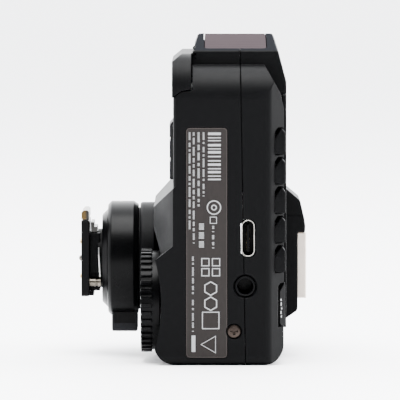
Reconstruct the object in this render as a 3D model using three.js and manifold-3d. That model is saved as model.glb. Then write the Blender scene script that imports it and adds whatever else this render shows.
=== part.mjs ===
// Wireless flash trigger: a two-cell radio trigger with a locking accessory foot, a pass-through
// shoe, a display, edge keys and a selector dial. It stands on its rear end, as when put down on a
// table. Millimetres, +Z from the rear end to the front end, +X from the foot to the top shoe and
// +Y across the unit from the port side to the switch side.

import * as THREE from 'three';
import { mergeVertices } from 'three/addons/utils/BufferGeometryUtils.js';
import Module from 'manifold-3d';

const wasm = await Module();
wasm.setup();

// ---------------------------------------------------------------- driving dimensions

const HALF_WIDTH = 36;          // the casing is 72 wide
const UNDERSIDE_X = -4.6;       // flat underside of the casing
const CASE_TOP_X = 22.5;        // top plane of the casing
const DECK_X = 23.2;            // control deck, a little above the casing
const SHOULDER_Z = 73.3;        // front end of the casing beside the nose
const NOSE_Z = 80.5;            // crown of the nose
const NOSE_HALF = 27.2;         // half width of the nose and deck
const CROWN_RADIUS = 100;       // the nose front is a shallow arch
const WALL = 2;                 // casing wall
const GAP = 0.3;                // gap between pieces that meet
const SEAM_REAR_X = 13.1;       // parting line of the two casing halves, at the rear end
const SEAM_FRONT_X = 11.7;      // the same, at the front end

const PLATFORM_X = -9.4;        // raised platform that carries the foot and the dial
const PLATFORM_Z = 43.3;        // front end of the platform's ramp
const FOOT_AXIS_Z = 24.1;       // axis of the neck and lock ring
const PEDESTAL_RADIUS = 14.1;
const NECK_RADIUS = 7.4;
const RING_RADIUS = 14.4;
const FOOT_WIDTH = 18.6;        // standard accessory foot
const FOOT_SOLE_X = -27.67;
const FOOT_TOP_X = -25.6;
const FOOT_REAR_Z = 15;
const FOOT_FRONT_Z = 36.6;

const DIAL_Y = -22;             // selector dial, under the port-side rear corner
const DIAL_Z = 15.1;
const DIAL_RADIUS = 12.8;

const SHOE_FLOOR_X = 25.5;      // pass-through shoe, for a standard foot
const SHOE_LIP_X = 27.7;
const SHOE_TOP_X = 28.46;
const SHOE_INNER_WIDTH = 18.9;
const SHOE_LIP_GAP = 12.5;
const SHOE_OUTER_WIDTH = 21.4;

const CELL_RADIUS = 7.25;       // AA cells
const CELL_LENGTH = 50.5;
const CELL_X = 5.4;
const CELL_Z = [50.2, 64.9];

const USB = { x: 13.7, z: 31.2, width: 8.94, height: 3.2 };
const JACK = { x: 13, z: 19.45, radius: 2.4, hole: 1.98 };
const SIDE_SCREW = { x: 10.3, z: 8.4 };
const LABEL = { x0: -1.36, x1: 8.6, z0: 2, z1: 58.1 };

const GROUP_KEY_COUNT = 5;
const GROUP_KEY_PITCH = 7.2;
const FIRST_GROUP_KEY_Z = 26.6; // ridge line of the rearmost group key
const EDGE_KEY_Y = [-34.4, -28.9];
const TEST_KEY_Y = [-33.55, -28.9];
const FUNCTION_KEY_Z = [14, 22, 30, 38];
const FAR_KEY_Y = 20.8;
const SET_KEY_Z = 55;
const DISPLAY = { y0: -24, y1: 14, z0: 44.9, z1: 64.9 };
const SWITCH_X = 5.5;
const SWITCHES = { power: 27, lamp: 10 };

// ---------------------------------------------------------------- finishes

const finish = (color, roughness, metalness = 0) =>
  new THREE.MeshStandardMaterial({ color, roughness, metalness });

const CASING = finish('#212224', 0.5);
const DECK = finish('#1a1b1d', 0.35);
const KEY = finish('#2a2b2d', 0.55);
const LENS = finish('#0d0f12', 0.08);
const LAMP = finish('#7a6c6e', 0.25);
const BLACK = finish('#151617', 0.4);
const STEEL = finish('#b9b4a9', 0.3, 1);
const BRASS = finish('#b89657', 0.3, 1);
const GOLD = finish('#caa75a', 0.25, 1);
const SCREW = finish('#2c2724', 0.45, 0.8);
const LABEL_FILM = finish('#3a3634', 0.6);
const BOARD = finish('#1f5134', 0.5);
const RUBBER = finish('#3b3d40', 0.85);
const CELL = finish('#7c8288', 0.35, 0.6);
const REFLECTOR = finish('#c9cbce', 0.15, 1);

// ---------------------------------------------------------------- shape helpers

/** Closed outline through the corners [u, v, radius]; a corner with a radius is rounded by an arc. */
function outline(corners) {
  const shape = new THREE.Shape();
  const count = corners.length;
  const lineTo = (u, v, i) => (i === 0 ? shape.moveTo(u, v) : shape.lineTo(u, v));
  corners.forEach(([u, v, radius = 0], i) => {
    if (radius === 0) {
      lineTo(u, v, i);
      return;
    }
    const here = new THREE.Vector2(u, v);
    const [bu, bv] = corners[(i + count - 1) % count];
    const [au, av] = corners[(i + 1) % count];
    const back = new THREE.Vector2(bu, bv).sub(here).normalize();
    const ahead = new THREE.Vector2(au, av).sub(here).normalize();
    const half = Math.acos(back.dot(ahead)) / 2;
    const start = here.clone().addScaledVector(back, radius / Math.tan(half));
    const end = here.clone().addScaledVector(ahead, radius / Math.tan(half));
    const centre = here.clone().addScaledVector(back.clone().add(ahead).normalize(), radius / Math.sin(half));
    const angle = (p) => Math.atan2(p.y - centre.y, p.x - centre.x);
    const clockwise = back.cross(ahead) > 0;
    lineTo(start.x, start.y, i);
    shape.absarc(centre.x, centre.y, radius, angle(start), angle(end), clockwise);
  });
  return shape;
}

/** Rectangle from (u0, v0) to (u1, v1) with round corners. */
function roundedRectangle(u0, v0, u1, v1, radius = 0) {
  return outline([[u0, v0, radius], [u1, v0, radius], [u1, v1, radius], [u0, v1, radius]]);
}

const ALONG_X = new THREE.Matrix4().makeBasis(
  new THREE.Vector3(0, 1, 0), new THREE.Vector3(0, 0, 1), new THREE.Vector3(1, 0, 0));
const ALONG_Y = new THREE.Matrix4().makeBasis(
  new THREE.Vector3(1, 0, 0), new THREE.Vector3(0, 0, 1), new THREE.Vector3(0, -1, 0));

function extruded(shape, depth, smoothness) {
  const settings = { depth, bevelEnabled: false, steps: 1, curveSegments: smoothness };
  return new THREE.ExtrudeGeometry(shape, settings);
}

/** Prism of a (y, z) outline between two x planes. */
function prismX(shape, x0, x1, smoothness = 3) {
  return solid(extruded(shape, x1 - x0, smoothness).applyMatrix4(ALONG_X).translate(x0, 0, 0));
}

/** Prism of an (x, z) outline between two y planes. */
function prismY(shape, y0, y1, smoothness = 3) {
  return solid(extruded(shape, y1 - y0, smoothness).applyMatrix4(ALONG_Y).translate(0, y1, 0));
}

/** Prism of an (x, y) outline between two z planes. */
function prismZ(shape, z0, z1, smoothness = 3) {
  return solid(extruded(shape, z1 - z0, smoothness).translate(0, 0, z0));
}

function box(x0, x1, y0, y1, z0, z1) {
  const geometry = new THREE.BoxGeometry(x1 - x0, y1 - y0, z1 - z0);
  return solid(geometry.translate((x0 + x1) / 2, (y0 + y1) / 2, (z0 + z1) / 2));
}

/** Turned piece on an axis along X: the profile is [x, radius] from one end on the axis to the other. */
function turnedX(profile, y, z, segments = 32) {
  const points = profile.map(([x, radius]) => new THREE.Vector2(radius, x));
  return solid(new THREE.LatheGeometry(points, segments).rotateZ(-Math.PI / 2).translate(0, y, z));
}

/** Turned piece on an axis along Y: the profile is [y, radius] from one end on the axis to the other. */
function turnedY(profile, x, z, segments = 24) {
  const points = profile.map(([y, radius]) => new THREE.Vector2(radius, y));
  return solid(new THREE.LatheGeometry(points, segments).translate(x, 0, z));
}

const rodX = (x0, x1, radius, y, z, segments) =>
  turnedX([[x0, 0], [x0, radius], [x1, radius], [x1, 0]], y, z, segments);
const rodY = (y0, y1, radius, x, z, segments) =>
  turnedY([[y0, 0], [y0, radius], [y1, radius], [y1, 0]], x, z, segments);

/** Closed mesh with shared corners, as a solid that can be joined and cut. */
function solid(geometry) {
  geometry.deleteAttribute('normal');
  geometry.deleteAttribute('uv');
  const merged = mergeVertices(geometry, 1e-5);
  const corners = merged.index.array;
  const faces = [];
  for (let i = 0; i < corners.length; i += 3) {
    const [a, b, c] = corners.slice(i, i + 3);
    if (a !== b && b !== c && c !== a) faces.push(a, b, c);
  }
  return new wasm.Manifold(new wasm.Mesh({
    numProp: 3,
    vertProperties: Float32Array.from(merged.attributes.position.array),
    triVerts: Uint32Array.from(faces),
  }));
}

const union = (first, ...others) => others.reduce((joined, piece) => joined.add(piece), first);
const cut = (first, ...tools) => tools.reduce((rest, tool) => rest.subtract(tool), first);
const common = (first, ...others) => others.reduce((rest, piece) => rest.intersect(piece), first);

/** The same solid on the other side of the unit's middle plane. */
const mirrored = (piece) => piece.mirror([0, 1, 0]);

const model = new THREE.Group();

/** Adds one named piece to the model. */
function place(name, piece, material) {
  const mesh = piece.getMesh();
  const geometry = new THREE.BufferGeometry();
  geometry.setAttribute('position', new THREE.BufferAttribute(mesh.vertProperties, 3));
  geometry.setIndex(new THREE.BufferAttribute(mesh.triVerts, 1));
  geometry.computeVertexNormals();
  const node = new THREE.Mesh(geometry, material);
  node.name = name;
  model.add(node);
}

// ---------------------------------------------------------------- casing envelope

/** Height of the arched nose front at a distance y from the middle, offset by rise. */
const crownZ = (y, rise = 0) => NOSE_Z + rise - y * y / (2 * CROWN_RADIUS);

/** Half of the nose's (y, z) outline: an arch between the side walls. */
function archOutline(halfWidth, z0, rise) {
  const shape = new THREE.Shape();
  const edge = crownZ(halfWidth, rise);
  shape.moveTo(-halfWidth, z0);
  shape.lineTo(halfWidth, z0);
  shape.lineTo(halfWidth, edge);
  shape.quadraticCurveTo(0, 2 * (NOSE_Z + rise) - edge, -halfWidth, edge);
  return shape;
}

/** The casing block inset by a distance, without nose or platform. */
function casingBlock(inset) {
  const top = CASE_TOP_X - inset;
  const under = UNDERSIDE_X + inset;
  const side = HALF_WIDTH - inset;
  const front = SHOULDER_Z - inset;
  const lengthwise = outline([
    [under, inset], [top, inset, 5 - inset], [top, 62.8], [top - 0.9, 66.5 - inset],
    [17.8 - inset, front], [under, front],
  ]);
  const bevel = 3.7 - inset / 2;
  const across = outline([
    [under, -side, 1.2], [top - bevel, -side], [top, bevel - side],
    [top, side - bevel], [top - bevel, side], [under, side, 1.2],
  ]);
  const plan = outline([
    [-side, inset, 2.5 - inset / 2], [side, inset, 2.5 - inset / 2],
    [side, front, 8.5 - inset], [-side, front, 8.5 - inset],
  ]);
  return common(
    prismY(lengthwise, -side, side), prismZ(across, inset, front), prismX(plan, under, top));
}

/** Nose and deck spine, arched at the front and sloping down to the deck. */
function nose() {
  const side = outline([
    [UNDERSIDE_X + 4.7, 60], [DECK_X, 60], [DECK_X, 69.2], [20.2, NOSE_Z, 1.2], [1.5, NOSE_Z, 1.2],
    [UNDERSIDE_X + 4.7, 76.4],
  ]);
  return common(prismY(side, -NOSE_HALF, NOSE_HALF), prismX(archOutline(NOSE_HALF, 60, 0), -1, 24, 6));
}

/** Raised platform under the rear half, with a ramp in front and sloping flanks. */
function platform() {
  const side = outline([
    [PLATFORM_X, 0, 5.6], [-2.6, 0], [-2.6, PLATFORM_Z + 0.6], [UNDERSIDE_X, PLATFORM_Z], [PLATFORM_X, 38.4],
  ]);
  const plan = roundedRectangle(-HALF_WIDTH, 0, HALF_WIDTH, 60, 2.5);
  const flankSection = outline([
    [UNDERSIDE_X + 0.2, -HALF_WIDTH - 0.4], [PLATFORM_X - 0.4, -26], [PLATFORM_X - 0.4, -HALF_WIDTH - 0.4],
  ]);
  const flank = prismZ(flankSection, -1, PLATFORM_Z + 1);
  const aboveDial = prismY(outline([
    [UNDERSIDE_X + 1, PLATFORM_Z + 1], [PLATFORM_X - 1, PLATFORM_Z + 1], [PLATFORM_X - 1, 24.6],
    [UNDERSIDE_X + 1, 30],
  ]), -HALF_WIDTH - 1, -20);
  const dish = turnedX([
    [PLATFORM_X - 1, 0], [PLATFORM_X - 1, DIAL_RADIUS + 8.6], [PLATFORM_X, DIAL_RADIUS + 6],
    [PLATFORM_X + 1.9, DIAL_RADIUS + 1.1], [PLATFORM_X + 1.9, 0],
  ], DIAL_Y, DIAL_Z, 40);
  const body = common(prismY(side, -HALF_WIDTH, HALF_WIDTH), prismX(plan, PLATFORM_X, 0));
  return cut(body, common(flank, aboveDial), mirrored(flank), dish);
}

/** Everything on one side of the tilted parting plane between the casing halves. */
function beyondSeam(towardsTop) {
  const seamAt = (z) => SEAM_REAR_X + (SEAM_FRONT_X - SEAM_REAR_X) * z / NOSE_Z;
  const offset = towardsTop ? GAP / 2 : -GAP / 2;
  const far = towardsTop ? 40 : -40;
  return prismY(outline([
    [seamAt(-5) + offset, -5], [far, -5], [far, 90], [seamAt(90) + offset, 90],
  ]), -50, 50);
}

/** Inner hollow of the closed casing, with the extra room inside the nose. */
function hollow() {
  return union(casingBlock(WALL + 0.3), box(1.4, 20.2, -26, 26, 60, 74.6));
}

/** Room for the lamp window in the nose front, and for the lamp behind it. */
function lampPocket() {
  const seat = common(
    prismX(archOutline(25.4, 60, 2), 0, 22, 6),
    prismZ(roundedRectangle(2.95, -25.4, 18.45, 25.4, 1.2), 70, 90));
  const below = prismX(archOutline(30, 50, -1.6), 0, 24, 6);
  return union(seat.subtract(below), box(6, 15.5, -12.4, 12.4, 72, 80));
}

/** Cuts through the port-side wall for the connectors, the side screw and the label. */
function portCuts() {
  const wide = USB.width / 2 + GAP;
  const high = USB.height / 2 + GAP;
  const usb = prismY(
    roundedRectangle(USB.x - high, USB.z - wide, USB.x + high, USB.z + wide, high - 0.01),
    -HALF_WIDTH - 1, -30, 4);
  const jack = rodY(-HALF_WIDTH - 1, -30, JACK.radius + 0.35, JACK.x, JACK.z);
  const label = prismY(
    roundedRectangle(LABEL.x0 - 0.15, LABEL.z0 - 0.15, LABEL.x1 + 0.15, LABEL.z1 + 0.15, 0.9),
    -HALF_WIDTH - 1, -HALF_WIDTH + 0.4, 2);
  return union(usb, jack, label, sideScrewHole());
}

function sideScrewHole() {
  return union(
    rodY(-HALF_WIDTH - 1, -HALF_WIDTH + 1.2, 1.95, SIDE_SCREW.x, SIDE_SCREW.z, 20),
    rodY(-HALF_WIDTH, -30, 1.15, SIDE_SCREW.x, SIDE_SCREW.z, 12));
}

// ---------------------------------------------------------------- casing halves

const UNDER_SCREWS = [[20, 8], [20, 35]];   // [y, z] of the screws in the platform

/** Outline of the door's end cap, grown by a margin, in (x, z). */
function doorCapOutline(margin) {
  return outline([
    [UNDERSIDE_X - 0.3 - 4 * margin, 65.3 - 4 * margin], [-2.6, 66.9 - margin], [-0.2 + margin, 67.6 - margin],
    [-0.2 + margin, 76.1 + 20 * margin], [-2.5 - 9 * margin, 76.1 + 20 * margin],
    [UNDERSIDE_X - 0.3 - 4 * margin, 74.1 + 4 * margin],
  ]);
}

function bottomCasing() {
  const shell = cut(union(casingBlock(0), nose()), hollow());
  const lower = common(shell, beyondSeam(false));
  const bulkhead = box(-2.6, 11.4, -34.5, 34.5, 41.2, 42.6);
  const underScrewHoles = UNDER_SCREWS.map(([y, z]) => union(
    rodX(PLATFORM_X - 1, PLATFORM_X + 3.2, 2.2, y, z, 20), rodX(PLATFORM_X, -1, 1.3, y, z, 12)));
  return cut(
    union(lower, platform(), bulkhead),
    prismY(doorCapOutline(GAP), -40, 40),
    box(-7, -2.3, -31.8, 31.8, 43.3, 70),
    box(-3, 0.65, -26.3, 26.3, 68.7, 82),
    rodX(PLATFORM_X, 0, 2.8, DIAL_Y, DIAL_Z, 20),
    rodX(-6.6, 0, 5.6, DIAL_Y, DIAL_Z, 24),
    rodX(PLATFORM_X - 1, 0, 4, 0, FOOT_AXIS_Z, 20),
    ...underScrewHoles,
    lampPocket(),
    portCuts(),
    mirrored(sideScrewHole()),
    switchSlot(SWITCHES.power),
    switchSlot(SWITCHES.lamp));
}

/** Recess for a slide switch in the far wall, with a slot through it. */
function switchSlot(z) {
  const x = SWITCH_X;
  return union(
    box(x - 2.8, x + 2.8, HALF_WIDTH - 1.2, HALF_WIDTH + 1, z - 3.8, z + 7.8),
    box(x - 1.4, x + 1.4, 30, HALF_WIDTH, z - 1.8, z + 5.8));
}

const EDGE_KEY_ROOM = 0.85;     // free depth under an edge key
const KEY_TRAVEL = 0.6;

/** (x, z) outline of a group key whose ridge line is at z. */
function groupKeyOutline(z) {
  return outline([
    [19.9, z - 3.75], [DECK_X - 0.35, z - 3.75], [DECK_X - 0.35, z + 1.4], [21.95, z + 2.55], [19.9, z - 0.6],
  ]);
}

/** (x, z) outline of the room for a group key and its travel. */
function groupKeyRoom(z) {
  const bottom = 19.7 - EDGE_KEY_ROOM;
  return outline([
    [bottom, z - 3.95], [DECK_X + 1, z - 3.95], [DECK_X + 1, z + 1.6], [22.95, z + 1.6],
    [22.05, z + 2.75], [21.85 - EDGE_KEY_ROOM, z + 2.75], [bottom, z - 0.45],
  ]);
}

/** (x, z) outline of the test key. */
function testKeyOutline() {
  return outline([[21.5, 10.3], [21.9, 9.5], [22.85, 9.5], [22.85, 19.9], [22.6, 19.9], [21.5, 18]]);
}

/** (x, z) outline of the room for the test key and its travel. */
function testKeyRoom() {
  const bottom = 21.3 - EDGE_KEY_ROOM;
  return outline([
    [bottom, 10.1], [bottom + 0.6, 9.3], [DECK_X + 1, 9.3], [DECK_X + 1, 20.1],
    [bottom + 1.2, 20.1], [bottom, 18.2],
  ]);
}

const groupKeyLines = Array.from(
  { length: GROUP_KEY_COUNT }, (_, i) => FIRST_GROUP_KEY_Z + i * GROUP_KEY_PITCH);

/** Pocket for an edge key and the hole for its stem. */
function edgeKeyPocket([y0, y1], room, z) {
  return union(
    prismY(room, y0 - 0.15, y1 + GAP), box(17, 21.5, y0 + 0.7, y1 - 0.7, z - 2.2, z + 1.2));
}

/** (y, z) outline of a deck key, grown by a margin. */
function deckKeyOutline(z, margin) {
  return roundedRectangle(
    FAR_KEY_Y - 4.3 - margin, z - 2.6 - margin, FAR_KEY_Y + 4.3 + margin, z + 2.6 + margin, 1.4 + margin);
}

function deckKeyHoles(x0, x1) {
  const holes = FUNCTION_KEY_Z.map((z) => prismX(deckKeyOutline(z, 0.25), x0, x1, 2));
  return union(rodX(x0, x1, 4.65, FAR_KEY_Y, SET_KEY_Z, 28), ...holes);
}

function topCover() {
  const shell = cut(union(casingBlock(0), nose()), hollow());
  const upper = common(shell, beyondSeam(true));
  const keyBoss = box(18.1, 21, -34.6, -27.9, 8, 60);
  const deckRecess = box(DECK_X - 1.3, DECK_X + 1, -27.8, 27.8, 8.4, 66.3);
  const groupPockets = groupKeyLines.map((z) => edgeKeyPocket(EDGE_KEY_Y, groupKeyRoom(z), z));
  const { y0, y1, z0, z1 } = DISPLAY;
  return cut(
    union(upper, common(keyBoss, casingBlock(0.5))),
    deckRecess,
    box(19, 23, y0 + 1.5, y1 - 1.5, z0 + 1.2, z1 - 1.2),
    ...groupPockets,
    edgeKeyPocket(TEST_KEY_Y, testKeyRoom(), 14.6),
    deckKeyHoles(19, 23),
    lampPocket(),
    portCuts());
}

function deckPanel() {
  const plate = prismX(roundedRectangle(-27.5, 8.7, 27.5, 66, 0.8), DECK_X - 1, DECK_X, 2);
  const { y0, y1, z0, z1 } = DISPLAY;
  const displayHole = prismX(
    roundedRectangle(y0 - 0.2, z0 - 0.2, y1 + 0.2, z1 + 0.2, 1.7), DECK_X - 2, DECK_X + 1, 2);
  return cut(plate, displayHole, deckKeyHoles(DECK_X - 2, DECK_X + 1), box(20, 25, -13.8, 13.8, 9.6, 42.3));
}

place('bottom_casing', bottomCasing(), CASING);
place('top_cover', topCover(), CASING);
place('deck_panel', deckPanel(), DECK);

// ---------------------------------------------------------------- battery bay

function batteryDoor() {
  const capPlan = roundedRectangle(-HALF_WIDTH + 0.1, 40, HALF_WIDTH - 0.1, 76.1, 9);
  const cap = common(prismY(doorCapOutline(0), -HALF_WIDTH, HALF_WIDTH), prismX(capPlan, -8, 2, 3));
  const step = box(-0.6, 0.35, -26, 26, 69, 76.1);
  const panel = box(UNDERSIDE_X, -2.9, -31.5, 31.5, 43.6, 67.5);
  const grip = prismY(outline([
    [UNDERSIDE_X - 1, 44.4], [UNDERSIDE_X + 0.4, 44.4], [UNDERSIDE_X + 0.4, 58.8], [UNDERSIDE_X - 0.3, 58.8],
    [UNDERSIDE_X - 1, 58],
  ]), -12, 12);
  const gripEnds = prismZ(outline([
    [UNDERSIDE_X - 1, -11.2], [UNDERSIDE_X - 0.2, -12], [UNDERSIDE_X + 1, -12], [UNDERSIDE_X + 1, 12],
    [UNDERSIDE_X - 0.2, 12], [UNDERSIDE_X - 1, 11.2],
  ]), 44, 59);
  const notches = [48.9, 54].map((z) => box(-6, UNDERSIDE_X - 0.7, -13, 13, z, z + 0.9));
  const cellRoom = rodY(-27.4, 27.4, CELL_RADIUS + 0.35, CELL_X, CELL_Z[1], 28);
  return cut(union(cap, step, panel, common(grip, gripEnds)), ...notches, cellRoom);
}

function cell(z, direction) {
  const end = CELL_LENGTH / 2;
  const can = turnedY([
    [-end + 0.2, 0], [-end + 0.2, 3.6], [-end, 4], [-end, CELL_RADIUS - 0.6], [-end + 0.6, CELL_RADIUS],
    [end - 1.4, CELL_RADIUS], [end - 0.8, CELL_RADIUS - 0.6], [end - 0.8, 2.6], [end, 2.5], [end, 0],
  ], CELL_X, z, 24);
  return direction > 0 ? can : mirrored(can);
}

function batteryTray() {
  const floor = box(12.95, 13.9, -28.6, 28.6, 43.4, 70.6);
  const end = box(0.4, 13.4, 27.6, 28.6, 43.4, 70.6);
  const rib = box(11.4, 13.4, -24, 24, 57.2, 57.9);
  return cut(union(floor, end, mirrored(end), rib), ...CELL_Z.map((z) =>
    rodY(-27, 27, CELL_RADIUS + 0.3, CELL_X, z, 28)));
}

/** Sheet contact at one end of the cells, with a raised spot for each. */
function batteryContact() {
  const sheet = prismY(roundedRectangle(0.4, 44.6, 11, 69.8, 1), -27.2, -26.8, 1);
  const spots = CELL_Z.map((z) => rodY(-27, -25.7, 2.1, CELL_X, z, 16));
  return union(sheet, ...spots);
}

place('battery_door', batteryDoor(), CASING);
place('battery_tray', batteryTray(), BLACK);
place('battery_cell_rear', cell(CELL_Z[0], 1), CELL);
place('battery_cell_front', cell(CELL_Z[1], -1), CELL);
place('battery_contact_near', batteryContact(), STEEL);
place('battery_contact_far', mirrored(batteryContact()), STEEL);

// ---------------------------------------------------------------- electronics and display

function usbShell() {
  const { x, z, width, height } = USB;
  const tube = (inset, y0, y1) => prismY(roundedRectangle(
    x - height / 2 + inset, z - width / 2 + inset, x + height / 2 - inset, z + width / 2 - inset,
    height / 2 - inset - 0.01), y0, y1, 4);
  return cut(tube(0, -HALF_WIDTH + 0.05, -28.5), tube(0.3, -HALF_WIDTH - 1, -28.9));
}

function keyMat() {
  const [far0, far1] = [FAR_KEY_Y - 4.6, FAR_KEY_Y + 5.4];
  return prismX(outline([
    [-33.4, 9], [far1, 9], [far1, 60.4], [far0, 60.4], [far0, 12.6], [-28, 12.6], [-28, 59], [-33.4, 59],
  ]), 16.9, 17.6);
}

place('main_board', prismX(roundedRectangle(-32, 4, 32, 68, 2), 15.6, 16.6, 2), BOARD);
place('radio_module', prismX(roundedRectangle(8, 24, 26, 39.5, 0.8), 12.6, 15.3, 2), STEEL);
place('key_mat', keyMat(), RUBBER);
place('usb_shell', usbShell(), STEEL);
place('usb_tongue', prismY(roundedRectangle(
  USB.x - 0.35, USB.z - 3.35, USB.x + 0.35, USB.z + 3.35, 0.3), -HALF_WIDTH + 0.9, -29.2, 2), BLACK);
place('sync_jack', turnedY([
  [-27, 0], [-27, JACK.hole], [-HALF_WIDTH, JACK.hole], [-HALF_WIDTH, JACK.radius],
  [-25, JACK.radius], [-25, 0],
], JACK.x, JACK.z, 28), BLACK);
place('display_module', prismX(roundedRectangle(
  DISPLAY.y0 - 0.8, DISPLAY.z0 - 0.8, DISPLAY.y1 + 0.8, DISPLAY.z1 + 0.8, 0.8), 17.4, 19.9, 2), STEEL);
place('display_lens', prismX(roundedRectangle(
  DISPLAY.y0, DISPLAY.z0, DISPLAY.y1, DISPLAY.z1, 1.5), DECK_X - 1, DECK_X - 0.05, 2), LENS);

function lampWindow() {
  const band = cut(
    prismX(archOutline(25.2, 60, -0.05), 0, 22, 6), prismX(archOutline(30, 50, -1.35), -1, 24, 6));
  return common(band, prismZ(roundedRectangle(3.15, -25.2, 18.25, 25.2, 1), 70, 90));
}

/** Trough behind the lamp window, open towards it. */
function lampReflector() {
  return cut(
    box(6.3, 15.2, -12.1, 12.1, 74.9, 77.9),
    prismY(outline([[7, 79], [8.4, 75.5], [13.1, 75.5], [14.5, 79]]), -11.3, 11.3));
}

place('lamp_window', lampWindow(), LAMP);
place('lamp_reflector', lampReflector(), REFLECTOR);

// ---------------------------------------------------------------- label and screws

function ratingLabel() {
  const film = prismY(
    roundedRectangle(LABEL.x0, LABEL.z0, LABEL.x1, LABEL.z1, 0.8), -HALF_WIDTH, -HALF_WIDTH + 0.2, 3);
  return cut(film, rodY(-HALF_WIDTH - 1, -34, 2, SIDE_SCREW.x, SIDE_SCREW.z, 20));
}

/** Screw with a cross recess, pointing along +Y, its head's rim at y = 0. */
function screwProfile(start, headRadius, length) {
  return [
    [start, 0], [start, headRadius - 0.3], [start + 0.25, headRadius], [start + 0.8, headRadius],
    [start + 0.8, 0.9],
    [start + length, 0.9], [start + length, 0],
  ];
}

function sideScrew() {
  const { x, z } = SIDE_SCREW;
  const start = -HALF_WIDTH + 0.15;
  const recess = (w, h) => box(x - w, x + w, start - 1, start + 0.6, z - h, z + h);
  return cut(turnedY(screwProfile(start, 1.65, 4.6), x, z, 20), recess(0.22, 0.95), recess(0.95, 0.22));
}

function underScrew([y, z]) {
  const start = PLATFORM_X + 1.6;
  const recess = (w, h) => box(start - 1, start + 0.6, y - w, y + w, z - h, z + h);
  return cut(turnedX(screwProfile(start, 1.8, 5.4), y, z, 20), recess(0.25, 1), recess(1, 0.25));
}

place('rating_label', ratingLabel(), LABEL_FILM);
place('casing_screw_near', sideScrew(), SCREW);
place('casing_screw_far', mirrored(sideScrew()), SCREW);
place('casing_screw_rear', underScrew(UNDER_SCREWS[0]), SCREW);
place('casing_screw_front', underScrew(UNDER_SCREWS[1]), SCREW);

// ---------------------------------------------------------------- keys and switches

/** Key on the casing's top edge, with a stem that reaches the rubber mat. */
function edgeKey([y0, y1], shape, z) {
  return union(prismY(shape, y0, y1), box(18.3, 21.6, y0 + 1, y1 - 1, z - 1.9, z + 0.9));
}

/** Everything inside the chamfer along the casing's top edge, grown outwards by a margin. */
function insideChamfer(margin) {
  const edge = HALF_WIDTH + margin * Math.SQRT2;
  return prismZ(outline([[16, -edge], [18.8, -edge], [24, 5.2 - edge], [24, 0], [16, 0]]), 0, 60);
}

groupKeyLines.forEach((z, i) =>
  place(`group_key_${i + 1}`, edgeKey(EDGE_KEY_Y, groupKeyOutline(z), z), KEY));
place('test_key', common(edgeKey(TEST_KEY_Y, testKeyOutline(), 14.6), insideChamfer(0.05)), KEY);

/** Deck key with a retaining flange under the cover. */
FUNCTION_KEY_Z.forEach((z, i) => place(`function_key_${i + 1}`, union(
  prismX(deckKeyOutline(z, 0), 18.4, DECK_X + KEY_TRAVEL, 2),
  prismX(deckKeyOutline(z, 0.6), 18.9, 19.9, 2)), KEY));
place('set_key', turnedX([
  [18.4, 0], [18.4, 4.4], [18.9, 4.4], [18.9, 5], [19.9, 5], [19.9, 4.4],
  [DECK_X + 0.4, 4.4], [DECK_X + 0.7, 4.1],
  [DECK_X + 0.7, 0],
], FAR_KEY_Y, SET_KEY_Z, 28), KEY);

/** Slide switch knob with three grip ribs and a stem through the wall. */
function switchKnob(z) {
  const x = SWITCH_X;
  const cap = box(x - 2.4, x + 2.4, HALF_WIDTH - 0.95, HALF_WIDTH - 0.35, z - 3.4, z + 3.4);
  const ribs = [-2, 0, 2].map((step) =>
    box(x - 2.4, x + 2.4, HALF_WIDTH - 0.6, HALF_WIDTH, z + step - 0.5, z + step + 0.5));
  return union(cap, ...ribs, box(x - 1, x + 1, 31.5, HALF_WIDTH - 0.6, z - 1.4, z + 1.4));
}

place('power_switch', switchKnob(SWITCHES.power), KEY);
place('lamp_switch', switchKnob(SWITCHES.lamp), KEY);

// ---------------------------------------------------------------- selector dial

place('dial_wheel', turnedX([
  [-12.6, 0], [-12.6, DIAL_RADIUS - 0.9], [-12.2, DIAL_RADIUS - 0.4], [-10, DIAL_RADIUS],
  [-9.75, DIAL_RADIUS - 0.2],
  [-9.75, DIAL_RADIUS - 0.6], [-7.9, DIAL_RADIUS - 0.6], [-7.9, 2], [-3, 2], [-3, 0],
], DIAL_Y, DIAL_Z, 52), BLACK);
place('dial_encoder', cut(
  rodX(-6.2, -3.1, 5.2, DIAL_Y, DIAL_Z, 24), rodX(-7, -2, 2.3, DIAL_Y, DIAL_Z, 20)), STEEL);

// ---------------------------------------------------------------- locking foot

const LOCK_PIN = { y: -6, z: 18.35, radius: 1 };
const SIGNAL_CONTACTS = [[-1.9, 19.6], [1.9, 19.6], [-3.4, 28.4], [3.4, 28.4]];
const CENTRE_CONTACT = [0, FOOT_AXIS_Z];

function contactHoles(x0, x1) {
  const centre = rodX(x0, x1, 1.05, ...CENTRE_CONTACT, 16);
  return union(centre, ...SIGNAL_CONTACTS.map(([y, z]) => rodX(x0, x1, 0.8, y, z, 12)));
}

function footNeck() {
  const turned = turnedX([
    [-23.6, 0], [-23.6, NECK_RADIUS], [-12.95, NECK_RADIUS], [-12.95, PEDESTAL_RADIUS - 0.4],
    [-12.55, PEDESTAL_RADIUS], [PLATFORM_X - 0.05, PEDESTAL_RADIUS], [PLATFORM_X - 0.05, 0],
  ], 0, FOOT_AXIS_Z, 44);
  const stem = box(-25.3, -23, -6.1, 6.1, 16.2, 30.7);
  return cut(
    union(turned, stem, rodX(-12, -5, 3.6, 0, FOOT_AXIS_Z, 20)),
    rodX(-14, PLATFORM_X, DIAL_RADIUS + 0.5, DIAL_Y, DIAL_Z, 52),
    box(-26, -22.2, -9, -4.6, 16, 20.8),
    contactHoles(-26, -23.2));
}

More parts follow.
